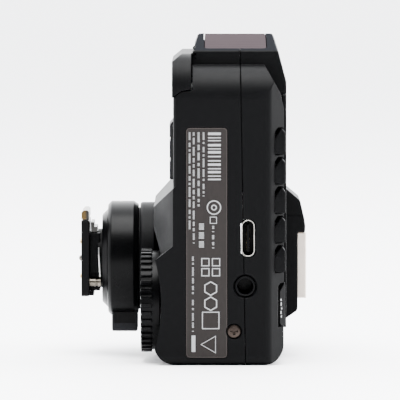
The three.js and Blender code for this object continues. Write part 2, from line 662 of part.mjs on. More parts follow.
function lockRing() {
  const ring = turnedX([
    [-22.5, 0], [-22.5, 11], [-21.05, 12.4], [-21.05, 13.6], [-20.1, RING_RADIUS], [-14.5, RING_RADIUS],
    [-13.35, 13.5], [-13.35, 0],
  ], 0, FOOT_AXIS_Z, 48);
  const leverSide = outline([
    [-20.1, 5.9, 1.4], [-13.6, 5.9, 1.4], [-13.6, 14], [-20.1, 14],
  ]);
  const leverPlan = roundedRectangle(-5.6, 5.9, 5.6, 18, 2.2);
  const lever = common(prismY(leverSide, -6, 6), prismX(leverPlan, -21, -13));
  return cut(union(ring, lever), rodX(-24, -12, NECK_RADIUS + 0.4, 0, FOOT_AXIS_Z, 44));
}

function footPlate() {
  const half = FOOT_WIDTH / 2;
  const plate = prismY(outline([
    [FOOT_SOLE_X, FOOT_REAR_Z, 0.5], [FOOT_TOP_X, FOOT_REAR_Z, 0.3], [FOOT_TOP_X, 34], [FOOT_SOLE_X, 34],
  ]), -half, half, 1);
  const heel = box(FOOT_TOP_X - 0.5, -24.55, -6.1, 6.1, FOOT_REAR_Z, 16.1);
  const { y, z, radius } = LOCK_PIN;
  return cut(union(plate, heel), contactHoles(-29, -24), rodX(-29, -24, radius + 0.35, y, z, 16));
}

function footToe() {
  const half = FOOT_WIDTH / 2;
  return prismY(outline([
    [FOOT_SOLE_X + 0.07, 34.3], [FOOT_TOP_X - 0.1, 34.3], [FOOT_TOP_X - 0.1, FOOT_FRONT_Z - 0.4],
    [FOOT_TOP_X - 0.5, FOOT_FRONT_Z], [FOOT_SOLE_X + 0.7, FOOT_FRONT_Z],
    [FOOT_SOLE_X + 0.07, FOOT_FRONT_Z - 0.6],
  ]), -half, half);
}

/** Spring wire beside the neck that returns the lock pin, with a hooked end. */
function lockSpring() {
  const route = new THREE.CatmullRomCurve3([
    new THREE.Vector3(-22.95, -8.3, 19.9), new THREE.Vector3(-23.1, -8.35, 22.6),
    new THREE.Vector3(-23.25, -8.35, 25.4), new THREE.Vector3(-23.3, -8.1, 27.2),
  ]);
  const wire = new THREE.Shape().absarc(0, 0, 0.22, 0, 2 * Math.PI);
  const settings = { steps: 8, curveSegments: 4, bevelEnabled: false, extrudePath: route };
  return solid(new THREE.ExtrudeGeometry(wire, settings));
}

place('foot_neck', footNeck(), CASING);
place('lock_ring', lockRing(), BLACK);
place('foot_plate', footPlate(), BLACK);
place('foot_toe', footToe(), BRASS);
place('foot_clip', union(box(-25.3, -24.5, -6, 6, 31, 33.5), box(-24.5, -23.7, -6, 6, 31, 32.3)), STEEL);
place('lock_pin', turnedX([
  [-27.4, 0], [-27.4, 0.7], [-27.1, LOCK_PIN.radius], [-22.85, LOCK_PIN.radius], [-22.85, 0],
], LOCK_PIN.y, LOCK_PIN.z, 16), STEEL);
place('lock_spring', lockSpring(), STEEL);
place('centre_contact', turnedX([
  [-28.46, 0], [-28.46, 0.3], [-28.1, 0.75], [-24.4, 0.75], [-24.4, 0],
], ...CENTRE_CONTACT, 14), STEEL);
SIGNAL_CONTACTS.forEach((spot, i) => place(`signal_contact_${i + 1}`, turnedX([
  [-28.2, 0], [-28.2, 0.2], [-27.95, 0.5], [-24.4, 0.5], [-24.4, 0],
], ...spot, 10), GOLD));

// ---------------------------------------------------------------- pass-through shoe

const SHOE_ZS = [14.8, 31];
const SHOE_PADS = [[0, 24.1, 1.1], [-3.2, 19.4, 0.7], [0, 19.4, 0.7], [3.2, 19.4, 0.7], [3.2, 26.6, 0.7]];

function shoeBase() {
  const side = outline([
    [DECK_X - 1, 9.9], [DECK_X + 0.2, 9.9], [26.1, 11.8], [26.3, 12.6], [26.3, 31.3], [28.1, 31.3],
    [28.2, 32.9], [27.9, 34.9], [26.9, 39.2], [23.6, 42], [DECK_X - 1, 42],
  ]);
  const plan = outline([
    [-13.5, 0], [13.5, 0], [13.5, 35.5], [8.5, 50], [-8.5, 50], [-13.5, 35.5],
  ]);
  const half = SHOE_OUTER_WIDTH / 2;
  return cut(
    common(prismY(side, -13.5, 13.5), prismX(plan, 20, 30)),
    box(24.4, 30, -half - GAP, half + GAP, SHOE_ZS[0] - GAP, SHOE_ZS[1] + GAP),
    box(SHOE_FLOOR_X, 30, -SHOE_INNER_WIDTH / 2, SHOE_INNER_WIDTH / 2, 0, SHOE_ZS[0]));
}

function shoeRails() {
  const [outer, inner, lip] = [SHOE_OUTER_WIDTH / 2, SHOE_INNER_WIDTH / 2, SHOE_LIP_GAP / 2];
  const channel = prismZ(outline([
    [24.7, -outer], [SHOE_TOP_X, -outer, 0.4], [SHOE_TOP_X, -lip], [SHOE_LIP_X, -lip], [SHOE_LIP_X, -inner],
    [SHOE_FLOOR_X, -inner], [SHOE_FLOOR_X, inner], [SHOE_LIP_X, inner], [SHOE_LIP_X, lip], [SHOE_TOP_X, lip],
    [SHOE_TOP_X, outer, 0.4], [24.7, outer],
  ]), ...SHOE_ZS, 2);
  return cut(channel, box(24, 26.5, -5, 5, 16, 29));
}

function shoeContactBlock() {
  const block = prismX(roundedRectangle(-4.7, 16.3, 4.7, 28.7, 0.6), 24.7, SHOE_FLOOR_X - 0.05, 2);
  return cut(block, ...SHOE_PADS.map(([y, z, radius]) => rodX(24, 27, radius + 0.25, y, z, 14)));
}

place('shoe_base', shoeBase(), CASING);
place('shoe_rails', shoeRails(), STEEL);
place('shoe_contact_block', shoeContactBlock(), BLACK);
SHOE_PADS.forEach(([y, z, radius], i) =>
  place(`shoe_pad_${i + 1}`, rodX(24.75, SHOE_FLOOR_X + 0.05, radius, y, z, 12), GOLD));

export default model;
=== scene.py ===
import math
from contextlib import contextmanager

import bpy
from bpy.props import FloatProperty, FloatVectorProperty, IntProperty, PointerProperty
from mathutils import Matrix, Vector


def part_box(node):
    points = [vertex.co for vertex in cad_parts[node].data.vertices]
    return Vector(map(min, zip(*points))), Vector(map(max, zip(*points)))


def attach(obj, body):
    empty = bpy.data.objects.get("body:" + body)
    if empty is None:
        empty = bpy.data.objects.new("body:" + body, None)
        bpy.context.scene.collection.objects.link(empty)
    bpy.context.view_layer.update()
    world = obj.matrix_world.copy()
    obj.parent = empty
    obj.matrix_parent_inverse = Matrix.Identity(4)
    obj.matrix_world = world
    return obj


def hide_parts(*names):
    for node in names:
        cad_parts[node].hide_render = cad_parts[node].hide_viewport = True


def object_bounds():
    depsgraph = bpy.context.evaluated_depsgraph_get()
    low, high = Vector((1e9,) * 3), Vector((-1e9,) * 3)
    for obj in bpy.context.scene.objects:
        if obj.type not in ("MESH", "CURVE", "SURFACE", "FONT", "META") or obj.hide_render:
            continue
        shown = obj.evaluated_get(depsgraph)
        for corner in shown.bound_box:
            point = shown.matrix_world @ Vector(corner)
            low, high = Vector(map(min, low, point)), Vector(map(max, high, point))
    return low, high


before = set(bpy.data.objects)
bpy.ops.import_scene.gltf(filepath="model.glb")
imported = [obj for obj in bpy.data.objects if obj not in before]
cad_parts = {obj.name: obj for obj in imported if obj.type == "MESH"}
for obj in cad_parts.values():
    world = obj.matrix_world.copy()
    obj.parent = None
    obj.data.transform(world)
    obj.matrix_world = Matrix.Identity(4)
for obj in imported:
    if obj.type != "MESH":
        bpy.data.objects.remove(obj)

bl_info = {
    "name": "Wireless flash trigger",
    "version": (1, 0, 0),
    "blender": (4, 5, 0),
    "location": "View3D > Sidebar > Trigger",
    "description": "Models a wireless flash trigger around its packed frame",
    "category": "Object",
}

MM = 0.001
ALONG = {"X": Vector((1, 0, 0)), "Y": Vector((0, 1, 0)), "Z": Vector((0, 0, 1))}
FRAME_BOX = [list(corner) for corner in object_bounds()]


def span(node):
    """Lowest and highest corner of a frame node, in millimetres."""
    low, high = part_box(node)
    return Vector(low) / MM, Vector(high) / MM


def middle(node):
    """Centre of a frame node, in millimetres."""
    low, high = span(node)
    return (low + high) / 2


# ---------------------------------------------------------------- sizes read from the frame, in mm

LOWER, UPPER = span("bottom_casing")
PLATFORM = LOWER.x                       # raised platform that carries the foot and the dial
HALF = UPPER.y                           # half the casing's width
CROWN = UPPER.z                          # front end of the nose
UNDER = PLATFORM + 4.8                   # flat underside
DECK = span("top_cover")[1].x            # control deck
TOP = DECK - 0.7                         # top plane of the casing
SHOULDER = CROWN - 7.2                   # front end of the casing beside the nose
NOSE_HALF = 27.2
CROWN_DROP = 200                         # the nose front falls by y * y / 200
SEAM_REAR = 13.1                         # parting line at the rear end
SEAM_FRONT = 11.7                        # parting line at the front end
GAP = 0.3
WALL = 2.3
SMOOTH_ANGLE = math.radians(28)          # edges flatter than this are shaded smooth
SMOOTH_WEIGHT = 80
TICK_STEP = 0.27                         # pitch of the label's fine ticks
INK = 0.06                               # thickness of the label's print
CODE_BARS = (                            # widths of the code's bars and of the spaces below them
    (0.6, 0.55), (0.25, 0.45), (0.25, 0.7), (0.55, 0.5), (0.25, 0.4), (0.6, 0.6), (0.3, 0.75),
    (0.3, 0.5), (0.55, 0.6), (0.25, 0.45), (0.5, 0.6), (0.25, 0.5), (0.35, 0.4))
AIM_RIGHT, AIM_UP = 1.98, 0.3            # where the camera looks, from the middle of the port side
SENSOR = 36                              # width of the camera's sensor
LIGHT_AIM = Vector((0, 0, 0.05))         # in metres
LIGHTS = (                               # name, place and size in metres, power in watts
    ("overhead", (0, -0.3, 1.2), 0.9, 80),
    ("right", (1.2, 0.1, 0.4), 0.8, 36),
    ("left", (-1.1, 0.4, 0.6), 0.9, 1.5))
FOOT_Z = middle("foot_neck").z
DIAL = middle("dial_wheel")
JACK = middle("sync_jack")
USB = middle("usb_shell")
SCREW = middle("casing_screw_near")
LABEL_LOW, LABEL_HIGH = span("rating_label")


# ---------------------------------------------------------------- settings

def length(name, description, default, lowest, highest):
    """Setting for a length given in millimetres."""
    return FloatProperty(
        name=name, description=description, default=default * MM, min=lowest * MM, max=highest * MM,
        unit="LENGTH", precision=5)


def colour(name, description, default):
    return FloatVectorProperty(
        name=name, description=description, default=default, min=0, max=1, subtype="COLOR")


class TriggerSizes(bpy.types.PropertyGroup):
    seam_lip: length("Seam lip", "Width of the chamfer on each side of the parting line", 0.1, 0, 0.6)
    edge_radius: length("Edge radius", "Radius of the moulded edges", 0.35, 0.05, 1)
    dial_teeth: IntProperty(
        name="Dial teeth", description="Number of ridges round the selector dial", default=40, min=24, max=72)
    tooth_height: length("Tooth height", "Height of the dial's ridges", 0.6, 0.1, 0.8)
    turning_steps: IntProperty(
        name="Turning steps", description="Steps round a turned piece", default=96, min=24, max=192)


class TriggerColours(bpy.types.PropertyGroup):
    casing: colour("Casing", "Black moulded plastic of the casing", (0.0009, 0.00095, 0.0011))
    key: colour("Keys", "Dark grey plastic of the keys and switches", (0.0012, 0.00125, 0.0014))
    label: colour("Label", "Film of the rating label", (0.011, 0.0094, 0.0088))
    print: colour("Print", "Light print on the label", (0.28, 0.285, 0.29))
    lamp: colour("Lamp window", "Smoked window over the focus lamp", (0.028, 0.0225, 0.0245))
    wear: FloatProperty(
        name="Wear", description="How far the edges are rubbed lighter",
        default=0.5, min=0, max=1, subtype="FACTOR")


class TriggerStage(bpy.types.PropertyGroup):
    floor: colour("Floor", "Colour of the floor", (0.92, 0.922, 0.935))
    distance: FloatProperty(
        name="Camera distance", description="Distance of the camera from the port side",
        default=1.192, min=0.3, max=5, unit="LENGTH")
    tilt: FloatProperty(
        name="Camera tilt", description="How far the camera looks down",
        default=math.radians(3), min=0, max=math.radians(60), subtype="ANGLE")
    lens: FloatProperty(
        name="Lens", description="Focal length of the camera in millimetres", default=440, min=50, max=900)
    light: FloatProperty(
        name="Light", description="Strength of the studio light", default=1, min=0, max=5, subtype="FACTOR")


class TriggerSettings(bpy.types.PropertyGroup):
    sizes: PointerProperty(type=TriggerSizes, name="Sizes", description="Sizes of the modelled details")
    colours: PointerProperty(type=TriggerColours, name="Colours", description="Colours of the finishes")
    stage: PointerProperty(type=TriggerStage, name="Stage", description="Floor, light and camera")


def settings():
    return bpy.context.scene.flash_trigger


# ---------------------------------------------------------------- modelling

def focus(piece):
    """Selects one piece alone and makes it active."""
    bpy.ops.object.select_all(action="DESELECT")
    piece.select_set(True)
    bpy.context.view_layer.objects.active = piece


def modified(piece, kind, **options):
    """Adds a modifier with its options to a piece, and applies it."""
    focus(piece)
    bpy.ops.object.modifier_add(type=kind)
    change = piece.modifiers[-1]
    for name, value in options.items():
        setattr(change, name, value)
    bpy.ops.object.modifier_apply(modifier=change.name)
    return piece


@contextmanager
def editing(piece, kind="FACE"):
    """Edit mode on one piece, with all of it selected."""
    focus(piece)
    bpy.ops.object.mode_set(mode="EDIT")
    bpy.ops.mesh.select_mode(type=kind)
    bpy.ops.mesh.select_all(action="SELECT")
    yield
    bpy.ops.object.mode_set(mode="OBJECT")


def choose(piece, kind, test):
    """Selects, in edit mode, what passes a test.

    The test is given a vertex's place, an edge's two ends, or a face's centre and normal.
    """
    bpy.ops.mesh.select_mode(type=kind)
    bpy.ops.mesh.select_all(action="DESELECT")
    bpy.ops.object.mode_set(mode="OBJECT")
    mesh = piece.data
    places = [vertex.co / MM for vertex in mesh.vertices]
    if kind == "VERT":
        for vertex, place in zip(mesh.vertices, places):
            vertex.select = test(place)
    elif kind == "EDGE":
        for edge in mesh.edges:
            edge.select = test(*(places[i] for i in edge.vertices))
    else:
        for face in mesh.polygons:
            face.select = test(face.center / MM, face.normal)
    bpy.ops.object.mode_set(mode="EDIT")


def near(value, target, margin=0.01):
    return abs(value - target) < margin


def along(axis, **places):
    """Test for edges that run along an axis and lie at the given places."""
    i = "xyz".index(axis.lower())

    def test(a, b):
        runs = (b - a).length > 0.01 and abs((b - a).normalized()[i]) > 0.999
        return runs and all(near(getattr(a, k), v) for k, v in places.items())
    return test


def named(name):
    piece = bpy.context.active_object
    piece.name = name
    piece.data.name = name
    bpy.ops.object.transform_apply(location=True, rotation=True, scale=True)
    return piece


def block(name, x, y, z):
    """Box between three pairs of planes."""
    pairs = (x, y, z)
    bpy.ops.object.select_all(action="DESELECT")
    bpy.ops.mesh.primitive_cube_add(
        size=1, location=[(a + b) / 2 * MM for a, b in pairs], scale=[(b - a) * MM for a, b in pairs])
    return named(name)


def sides(low, high, margin=0):
    """The three pairs of planes round a box, moved out by a margin."""
    return [(a - margin, b + margin) for a, b in zip(low, high)]


def drum(name, axis, centre, radius, low, high, sides=48, taper=None):
    """Round bar, or cone if it tapers, along an axis between two planes."""
    turn = {"X": (0, math.pi / 2, 0), "Y": (-math.pi / 2, 0, 0), "Z": (0, 0, 0)}[axis]
    place = Vector(centre)
    place["XYZ".index(axis)] = (low + high) / 2
    bpy.ops.object.select_all(action="DESELECT")
    bpy.ops.mesh.primitive_cone_add(
        vertices=sides, radius1=radius * MM, radius2=(radius if taper is None else taper) * MM,
        depth=(high - low) * MM, location=place * MM, rotation=turn)
    return named(name)


def traced(name, corners, closed):
    """Line through corners, drawn from one vertex."""
    bpy.ops.object.select_all(action="DESELECT")
    bpy.ops.mesh.primitive_plane_add(size=MM, location=corners[0] * MM)
    piece = named(name)
    ahead = corners[1:] + (corners[:1] if closed else [])
    with editing(piece, "VERT"):
        bpy.ops.mesh.merge(type="CENTER")
        for here, there in zip(corners, ahead):
            bpy.ops.mesh.extrude_region_move(TRANSFORM_OT_translate={"value": (there - here) * MM})
        bpy.ops.mesh.select_all(action="SELECT")
        bpy.ops.mesh.remove_doubles(threshold=0.0005 * MM)
    return piece


def outward(piece, threshold=0.0005):
    """Merges a piece's doubles and turns its faces outwards."""
    with editing(piece, "VERT"):
        bpy.ops.mesh.remove_doubles(threshold=threshold * MM)
        bpy.ops.mesh.select_all(action="SELECT")
        bpy.ops.mesh.normals_make_consistent(inside=False)
    return piece


def drawn(name, axis, points, low, high):
    """Prism of an outline drawn through (x, z) points for a prism along Y, (y, z) along X, (x, y) along Z."""
    spot = {
        "X": lambda u, v: Vector((low, u, v)),
        "Y": lambda u, v: Vector((u, low, v)),
        "Z": lambda u, v: Vector((u, v, low)),
    }[axis]
    piece = traced(name, [spot(u, v) for u, v in points], closed=True)
    with editing(piece, "VERT"):
        bpy.ops.mesh.edge_face_add()
        bpy.ops.mesh.extrude_region_move(TRANSFORM_OT_translate={"value": ALONG[axis] * (high - low) * MM})
    return outward(piece)


def turned(name, axis, profile, centre, closed=False):
    """Turned piece. Its profile is (place along the axis, radius)."""
    if axis == "X":
        corners = [Vector((a, centre.y, centre.z + r)) for a, r in profile]
    else:
        corners = [Vector((centre.x + r, a, centre.z)) for a, r in profile]
    piece = traced(name, corners, closed)
    with editing(piece, "VERT"):
        bpy.ops.mesh.spin(
            steps=settings().sizes.turning_steps, angle=2 * math.pi, center=centre * MM, axis=ALONG[axis])
    return outward(piece)


def combined(piece, operation, others):
    """Joins others to a piece, or cuts them from it, or keeps what they share."""
    tools = bpy.data.collections.new("tools")
    for other in others:
        tools.objects.link(other)
    modified(
        piece, "BOOLEAN", operation=operation, solver="EXACT", operand_type="COLLECTION", collection=tools)
    bpy.data.collections.remove(tools)
    for other in others:
        bpy.data.objects.remove(other)
    return piece


def joined(piece, *others):
    return combined(piece, "UNION", others)


def cut(piece, *others):
    return combined(piece, "DIFFERENCE", others)


def shared(piece, *others):
    for other in others:
        combined(piece, "INTERSECT", [other])
    return piece


def gathered(name, pieces):
    """Joins loose pieces into one object without a boolean."""
    bpy.ops.object.select_all(action="DESELECT")
    for piece in pieces:
        piece.select_set(True)
    bpy.context.view_layer.objects.active = pieces[0]
    bpy.ops.object.join()
    return named(name)


def rounded(piece, test, width, segments=4):
    """Rounds the edges that pass a test; one segment makes a chamfer."""
    with editing(piece, "EDGE"):
        choose(piece, "EDGE", test)
        bpy.ops.mesh.bevel(offset=width * MM, segments=segments, affect="EDGES", clamp_overlap=False)
    return piece


def plate(name, axis, x, y, z, radius, segments):
    """Box whose four edges along an axis are rounded."""
    piece = block(name, x, y, z)
    places = {"x": x, "y": y, "z": z}
    del places[axis.lower()]
    (first, firsts), (second, seconds) = places.items()
    for a in firsts:
        for b in seconds:
            rounded(piece, along(axis, **{first: a, second: b}), radius, segments)
    return piece


def softened(piece, width, segments=2, angle=30):
    """Rounds all the sharp edges of a piece a little."""
    return modified(
        piece, "BEVEL", width=width * MM, segments=segments, limit_method="ANGLE",
        angle_limit=math.radians(angle))


def sliced(piece, point, normal):
    """Cuts off and closes the part of a piece in front of a plane."""
    with editing(piece):
        bpy.ops.mesh.bisect(
            plane_co=Vector(point) * MM, plane_no=Vector(normal).normalized(),
            use_fill=True, clear_outer=True)
    return piece


def slope(piece, a, b, outside):
    """Cuts a piece along the plane through two (x, z) points, on the side of an outside (x, z) point."""
    normal = Vector((b[1] - a[1], 0, a[0] - b[0]))
    if normal.dot(Vector((outside[0] - a[0], 0, outside[1] - a[1]))) < 0:
        normal = -normal
    return sliced(piece, (a[0], 0, a[1]), normal)


def crowned(piece, half, lowest):
    """Bends what is above a height to the arch of the nose front."""
    places = [half * (i / 12 - 1) for i in range(1, 24)]
    for y in places:
        with editing(piece):
            bpy.ops.mesh.bisect(plane_co=(0, y * MM, 0), plane_no=(0, 1, 0))
    columns = sorted({round(vertex.co.y / MM, 3) for vertex in piece.data.vertices})
    with editing(piece, "VERT"):
        for column in columns:
            choose(piece, "VERT", lambda p, y=column: near(p.y, y, 0.002) and p.z > lowest)
            bpy.ops.transform.translate(value=(0, 0, -column * column / CROWN_DROP * MM))
    return piece


def copied(node, name):
    """New piece from a frame node's shape, with its loose triangles merged into whole faces."""
    piece = bpy.data.objects.new(name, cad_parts[node].data.copy())
    bpy.context.scene.collection.objects.link(piece)
    piece.data.name = name
    with editing(piece, "VERT"):
        bpy.ops.mesh.remove_doubles(threshold=0.002 * MM)
        bpy.ops.mesh.select_all(action="SELECT")
        bpy.ops.mesh.dissolve_limited(angle_limit=math.radians(1))
    return piece


def repeated(piece, name, move):
    """Copy of a piece with its own mesh, moved in millimetres."""
    focus(piece)
    bpy.ops.object.duplicate(linked=False)
    bpy.ops.transform.translate(value=Vector(move) * MM)
    return named(name)


def fitted(piece, finish, slot, body, *nodes):
    """Gives a finished piece its finish, smooth shading and place on the frame."""
    piece.data.materials.clear()
    piece.data.materials.append(finish_named(finish))
    focus(piece)
    bpy.ops.object.shade_smooth_by_angle(angle=SMOOTH_ANGLE)
    modified(piece, "WEIGHTED_NORMAL", keep_sharp=True, weight=SMOOTH_WEIGHT)
    if nodes:
        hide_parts(*nodes)
    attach(piece, body)
    return piece


def fitted_row(first, finish, slot, node):
    """Fits a piece to the first of some numbered nodes, and copies of it to the others."""
    stem = first.name[:-1]
    pieces = [first]
    while f"{node}_{len(pieces) + 1}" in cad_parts:
        i = len(pieces) + 1
        pieces.append(repeated(first, f"{stem}{i}", middle(f"{node}_{i}") - middle(f"{node}_1")))
    for i, piece in enumerate(pieces, 1):
        fitted(piece, finish, slot, f"{node}_{i}_body", f"{node}_{i}")


def touched_up(piece, finish, test):
    """Gives the faces that pass a test another finish."""
    piece.data.materials.append(finish_named(finish))
    with editing(piece):
        choose(piece, "FACE", test)
        piece.active_material_index = len(piece.data.materials) - 1
        bpy.ops.object.material_slot_assign()


# ---------------------------------------------------------------- finishes

class Value:
    """A shader socket with arithmetic."""

    def __init__(self, recipe, socket):
        self.recipe = recipe
        self.socket = socket

    def math(self, operation, first, second=0.0, clamp=False):
        made = self.recipe.node(
            "ShaderNodeMath", {"operation": operation, "use_clamp": clamp}, {0: first, 1: second})
        return Value(self.recipe, made.outputs[0])

    def __add__(self, other):
        return self.math("ADD", self, other)

    def __sub__(self, other):
        return self.math("SUBTRACT", self, other)

    def __rsub__(self, other):
        return self.math("SUBTRACT", other, self)

    def __mul__(self, other):
        return self.math("MULTIPLY", self, other)

    def above(self, other):
        return self.math("GREATER_THAN", self, other)

    def clamped(self):
        return self.math("ADD", self, 0.0, clamp=True)

    __radd__ = __add__
    __rmul__ = __mul__


class Recipe:
    """The node tree of one finish."""

    def __init__(self, name):
        self.material = bpy.data.materials.new(name)
        self.material.use_nodes = True
        self.tree = self.material.node_tree
        self.tree.nodes.clear()
        self.place = self.value(self.node("ShaderNodeTexCoord"), "Object")
        self.facing = self.value(self.node("ShaderNodeNewGeometry"), "Normal")

    def node(self, kind, options=None, inputs=None):
        """Adds a node with its settings, then the values or links of its sockets."""
        made = self.tree.nodes.new(kind)
        for name, value in (options or {}).items():
            setattr(made, name, value)
        for name, value in (inputs or {}).items():
            if isinstance(value, Value):
                self.tree.links.new(value.socket, made.inputs[name])
            else:
                made.inputs[name].default_value = value
        return made

    def value(self, made, output=0):
        return Value(self, made.outputs[output])

    def noise(self, scale, detail=2, stretch=(1, 1, 1), roughness=0.5):
        mapped = self.value(self.node("ShaderNodeMapping", {}, {"Vector": self.place, "Scale": stretch}))
        return self.value(self.node("ShaderNodeTexNoise", {}, {
            "Vector": mapped, "Scale": scale, "Detail": detail, "Roughness": roughness}), "Fac")

    def scratches(self, scale, stretch):
        """Thin scattered marks, one where they are and nothing elsewhere."""
        return (self.noise(scale, 3, stretch, 0.65) - 0.66).clamped() * 6.0

    def mix(self, factor, first, second):
        made = self.node(
            "ShaderNodeMix", {"data_type": "RGBA"}, {0: factor, 6: colour4(first), 7: colour4(second)})
        return self.value(made, 2)

    def separate(self):
        made = self.node("ShaderNodeSeparateXYZ", {}, {0: self.place})
        return [self.value(made, axis) for axis in "XYZ"]

    def soft_normal(self, radius):
        return self.value(self.node("ShaderNodeBevel", {"samples": 6}, {"Radius": radius}))

    def edge(self, normal):
        """One along convex and concave edges and nothing on flat faces."""
        made = self.node("ShaderNodeVectorMath", {"operation": "DOT_PRODUCT"}, {0: normal, 1: self.facing})
        return ((1 - self.value(made, "Value")) * 7.0).clamped()

    def bump(self, height, distance, strength, normal=None):
        inputs = {"Height": height, "Distance": distance, "Strength": strength}
        if normal:
            inputs["Normal"] = normal
        return self.value(self.node("ShaderNodeBump", {}, inputs))

    def surface(self, **sockets):
        """Ends the tree in one shader. Underscores in names stand for spaces."""
        inputs = {name.replace("_", " "): value for name, value in sockets.items()}
        shader = self.node("ShaderNodeBsdfPrincipled", {}, inputs)
        self.node("ShaderNodeOutputMaterial", {}, {"Surface": self.value(shader)})
        return self.material


def colour4(colour):
    return colour if isinstance(colour, Value) else (*tuple(colour)[:3], 1.0)


def tinted(colour, factor):
    return tuple(channel * factor for channel in tuple(colour)[:3])


def moulded(name, colour, roughness, grain, depth, radius=None, wear=None, coat=0.0, specular=0.04):
    """Moulded plastic: eroded grain, mottled gloss, and edges rubbed lighter and smoother."""
    finish = Recipe(name)
    worn = settings().colours.wear if wear is None else wear
    normal = finish.soft_normal(radius or settings().sizes.edge_radius)
    patches = finish.noise(70, 4)
    smudges = finish.noise(420, 4, roughness=0.6)
    eroded = finish.noise(1 / grain, 3, roughness=0.6)
    rubbed = finish.edge(normal) * (smudges * 1.6 - 0.35).clamped() * worn
    marks = finish.scratches(260, (1, 1, 0.08)) * 0.35
    plain = finish.mix(patches, tinted(colour, 0.86), tinted(colour, 1.14))
    grained = finish.mix(eroded, plain, tinted(colour, 1.5))
    base = finish.mix((rubbed + marks * 0.25).clamped(), grained, tinted(colour, 3.2))
    gloss = (roughness + (patches - 0.5) * 0.1 + (smudges - 0.5) * 0.12 - rubbed * 0.12).clamped()
    bumped = finish.bump(eroded * 1.0 + marks * -0.4, depth, 0.55, normal)
    return finish.surface(
        Base_Color=base, Roughness=gloss, Normal=bumped, Coat_Weight=coat, Coat_Roughness=0.12,
        Specular_IOR_Level=specular)


def brushed(name, colour, roughness, stretch, scale=2600, wear=0.5, tarnish=(0.3, 0.28, 0.25)):
    """Metal with fine lines, darker tarnish in patches and bright edges."""
    finish = Recipe(name)
    normal = finish.soft_normal(0.12 * MM)
    lines = finish.noise(scale, 3, stretch, 0.7)
    patches = finish.noise(240, 4, roughness=0.6)
    edge = finish.edge(normal)
    toned = finish.mix(lines, tinted(colour, 0.74), tinted(colour, 1.1))
    aged = finish.mix((patches - 0.45).clamped() * 1.3 * (1 - edge), toned, tarnish)
    base = finish.mix(edge * wear, aged, tinted(colour, 1.18))
    gloss = (roughness + (lines - 0.5) * 0.22 + (patches - 0.5) * 0.12).clamped()
    return finish.surface(
        Base_Color=base, Roughness=gloss, Metallic=1.0, Normal=finish.bump(lines, 0.004 * MM, 0.5, normal))


def make_lamp():
    """Smoked window with faint vertical flutes behind a clean front."""
    finish = Recipe("smoked_lamp")
    colour = settings().colours.lamp
    normal = finish.soft_normal(0.2 * MM)
    flutes = finish.value(finish.node(
        "ShaderNodeTexWave", {"wave_type": "BANDS", "bands_direction": "Y"},
        {"Vector": finish.place, "Scale": 160, "Distortion": 0.2, "Detail": 1}), "Fac")
    cloud = finish.noise(160, 3)
    dust = finish.scratches(1400, (1, 1, 1))
    toned = finish.mix(flutes, tinted(colour, 0.9), tinted(colour, 1.08))
    clouded = finish.mix(cloud * 0.5, toned, tinted(colour, 1.25))
    base = finish.mix(dust * 0.15, clouded, (0.1, 0.095, 0.095))
    gloss = (0.42 + (cloud - 0.5) * 0.1 + dust * 0.1).clamped()
    return finish.surface(
        Base_Color=base, Roughness=gloss, Normal=finish.bump(cloud, 0.01 * MM, 0.3, normal),
        Specular_IOR_Level=0.0)


def make_lens():
    """Gloss black lens over a dark display: the field of the screen shows faintly, with its rows of dots."""
    finish = Recipe("display_lens")
    low, high = span("display_lens")
    y, z = finish.separate()[1:]
    inside = (
        y.above((low.y + 3.2) * MM) * (1 - y.above((high.y - 3.2) * MM))
        * z.above((low.z + 2.6) * MM) * (1 - z.above((high.z - 2.2) * MM)))
    dots = finish.value(finish.node(
        "ShaderNodeTexBrick", {"offset": 0.0},
        {"Vector": finish.value(finish.node("ShaderNodeMapping", {}, {
            "Vector": finish.place, "Rotation": (0, math.pi / 2, 0)})),
         "Scale": 1900, "Mortar Size": 0.05, "Brick Width": 1.0, "Row Height": 1.0,
         "Color1": (1, 1, 1, 1), "Color2": (0.9, 0.9, 0.9, 1), "Mortar": (0.4, 0.4, 0.4, 1)}), "Color")
    smear = finish.noise(90, 4, (1, 0.4, 1))
    screen = finish.mix(dots, (0.006, 0.008, 0.009), (0.017, 0.02, 0.022))
    base = finish.mix(inside, (0.0035, 0.0038, 0.0045), screen)
    gloss = (0.07 + smear * 0.1).clamped()
    return finish.surface(
        Base_Color=base, Roughness=(gloss + 0.06).clamped(), Normal=finish.soft_normal(0.2 * MM),
        Specular_IOR_Level=0.25, Coat_Weight=0.15, Coat_Roughness=0.05)


def make_label():
    """Printed film: fine fibrous mottling and a slightly raised, rubbed edge."""
    finish = Recipe("label_film")
    colour = settings().colours.label
    normal = finish.soft_normal(0.1 * MM)
    fibres = finish.noise(1500, 4, (1, 1, 0.35), 0.65)
    patches = finish.noise(180, 3)
    toned = finish.mix(fibres, tinted(colour, 0.7), tinted(colour, 1.35))
    base = finish.mix(patches * 0.45, toned, tinted(colour, 1.3))
    gloss = (0.5 + (patches - 0.5) * 0.16).clamped()
    return finish.surface(
        Base_Color=base, Roughness=gloss, Normal=finish.bump(fibres, 0.008 * MM, 0.35, normal),
        Specular_IOR_Level=0.08)


def make_print():
    """Screen print with a slightly uneven film of ink."""
    finish = Recipe("label_ink")
    colour = settings().colours.print
    cover = finish.noise(2600, 4, roughness=0.7)
    patches = finish.noise(300, 2)
    cover_mix = (cover * 0.9 + patches * 0.3 - 0.3).clamped()
    base = finish.mix(cover_mix, tinted(colour, 0.72), tinted(colour, 1.1))
    return finish.surface(
        Base_Color=base, Roughness=(0.5 + (cover - 0.5) * 0.3).clamped(),
        Normal=finish.bump(cover, 0.004 * MM, 0.4))


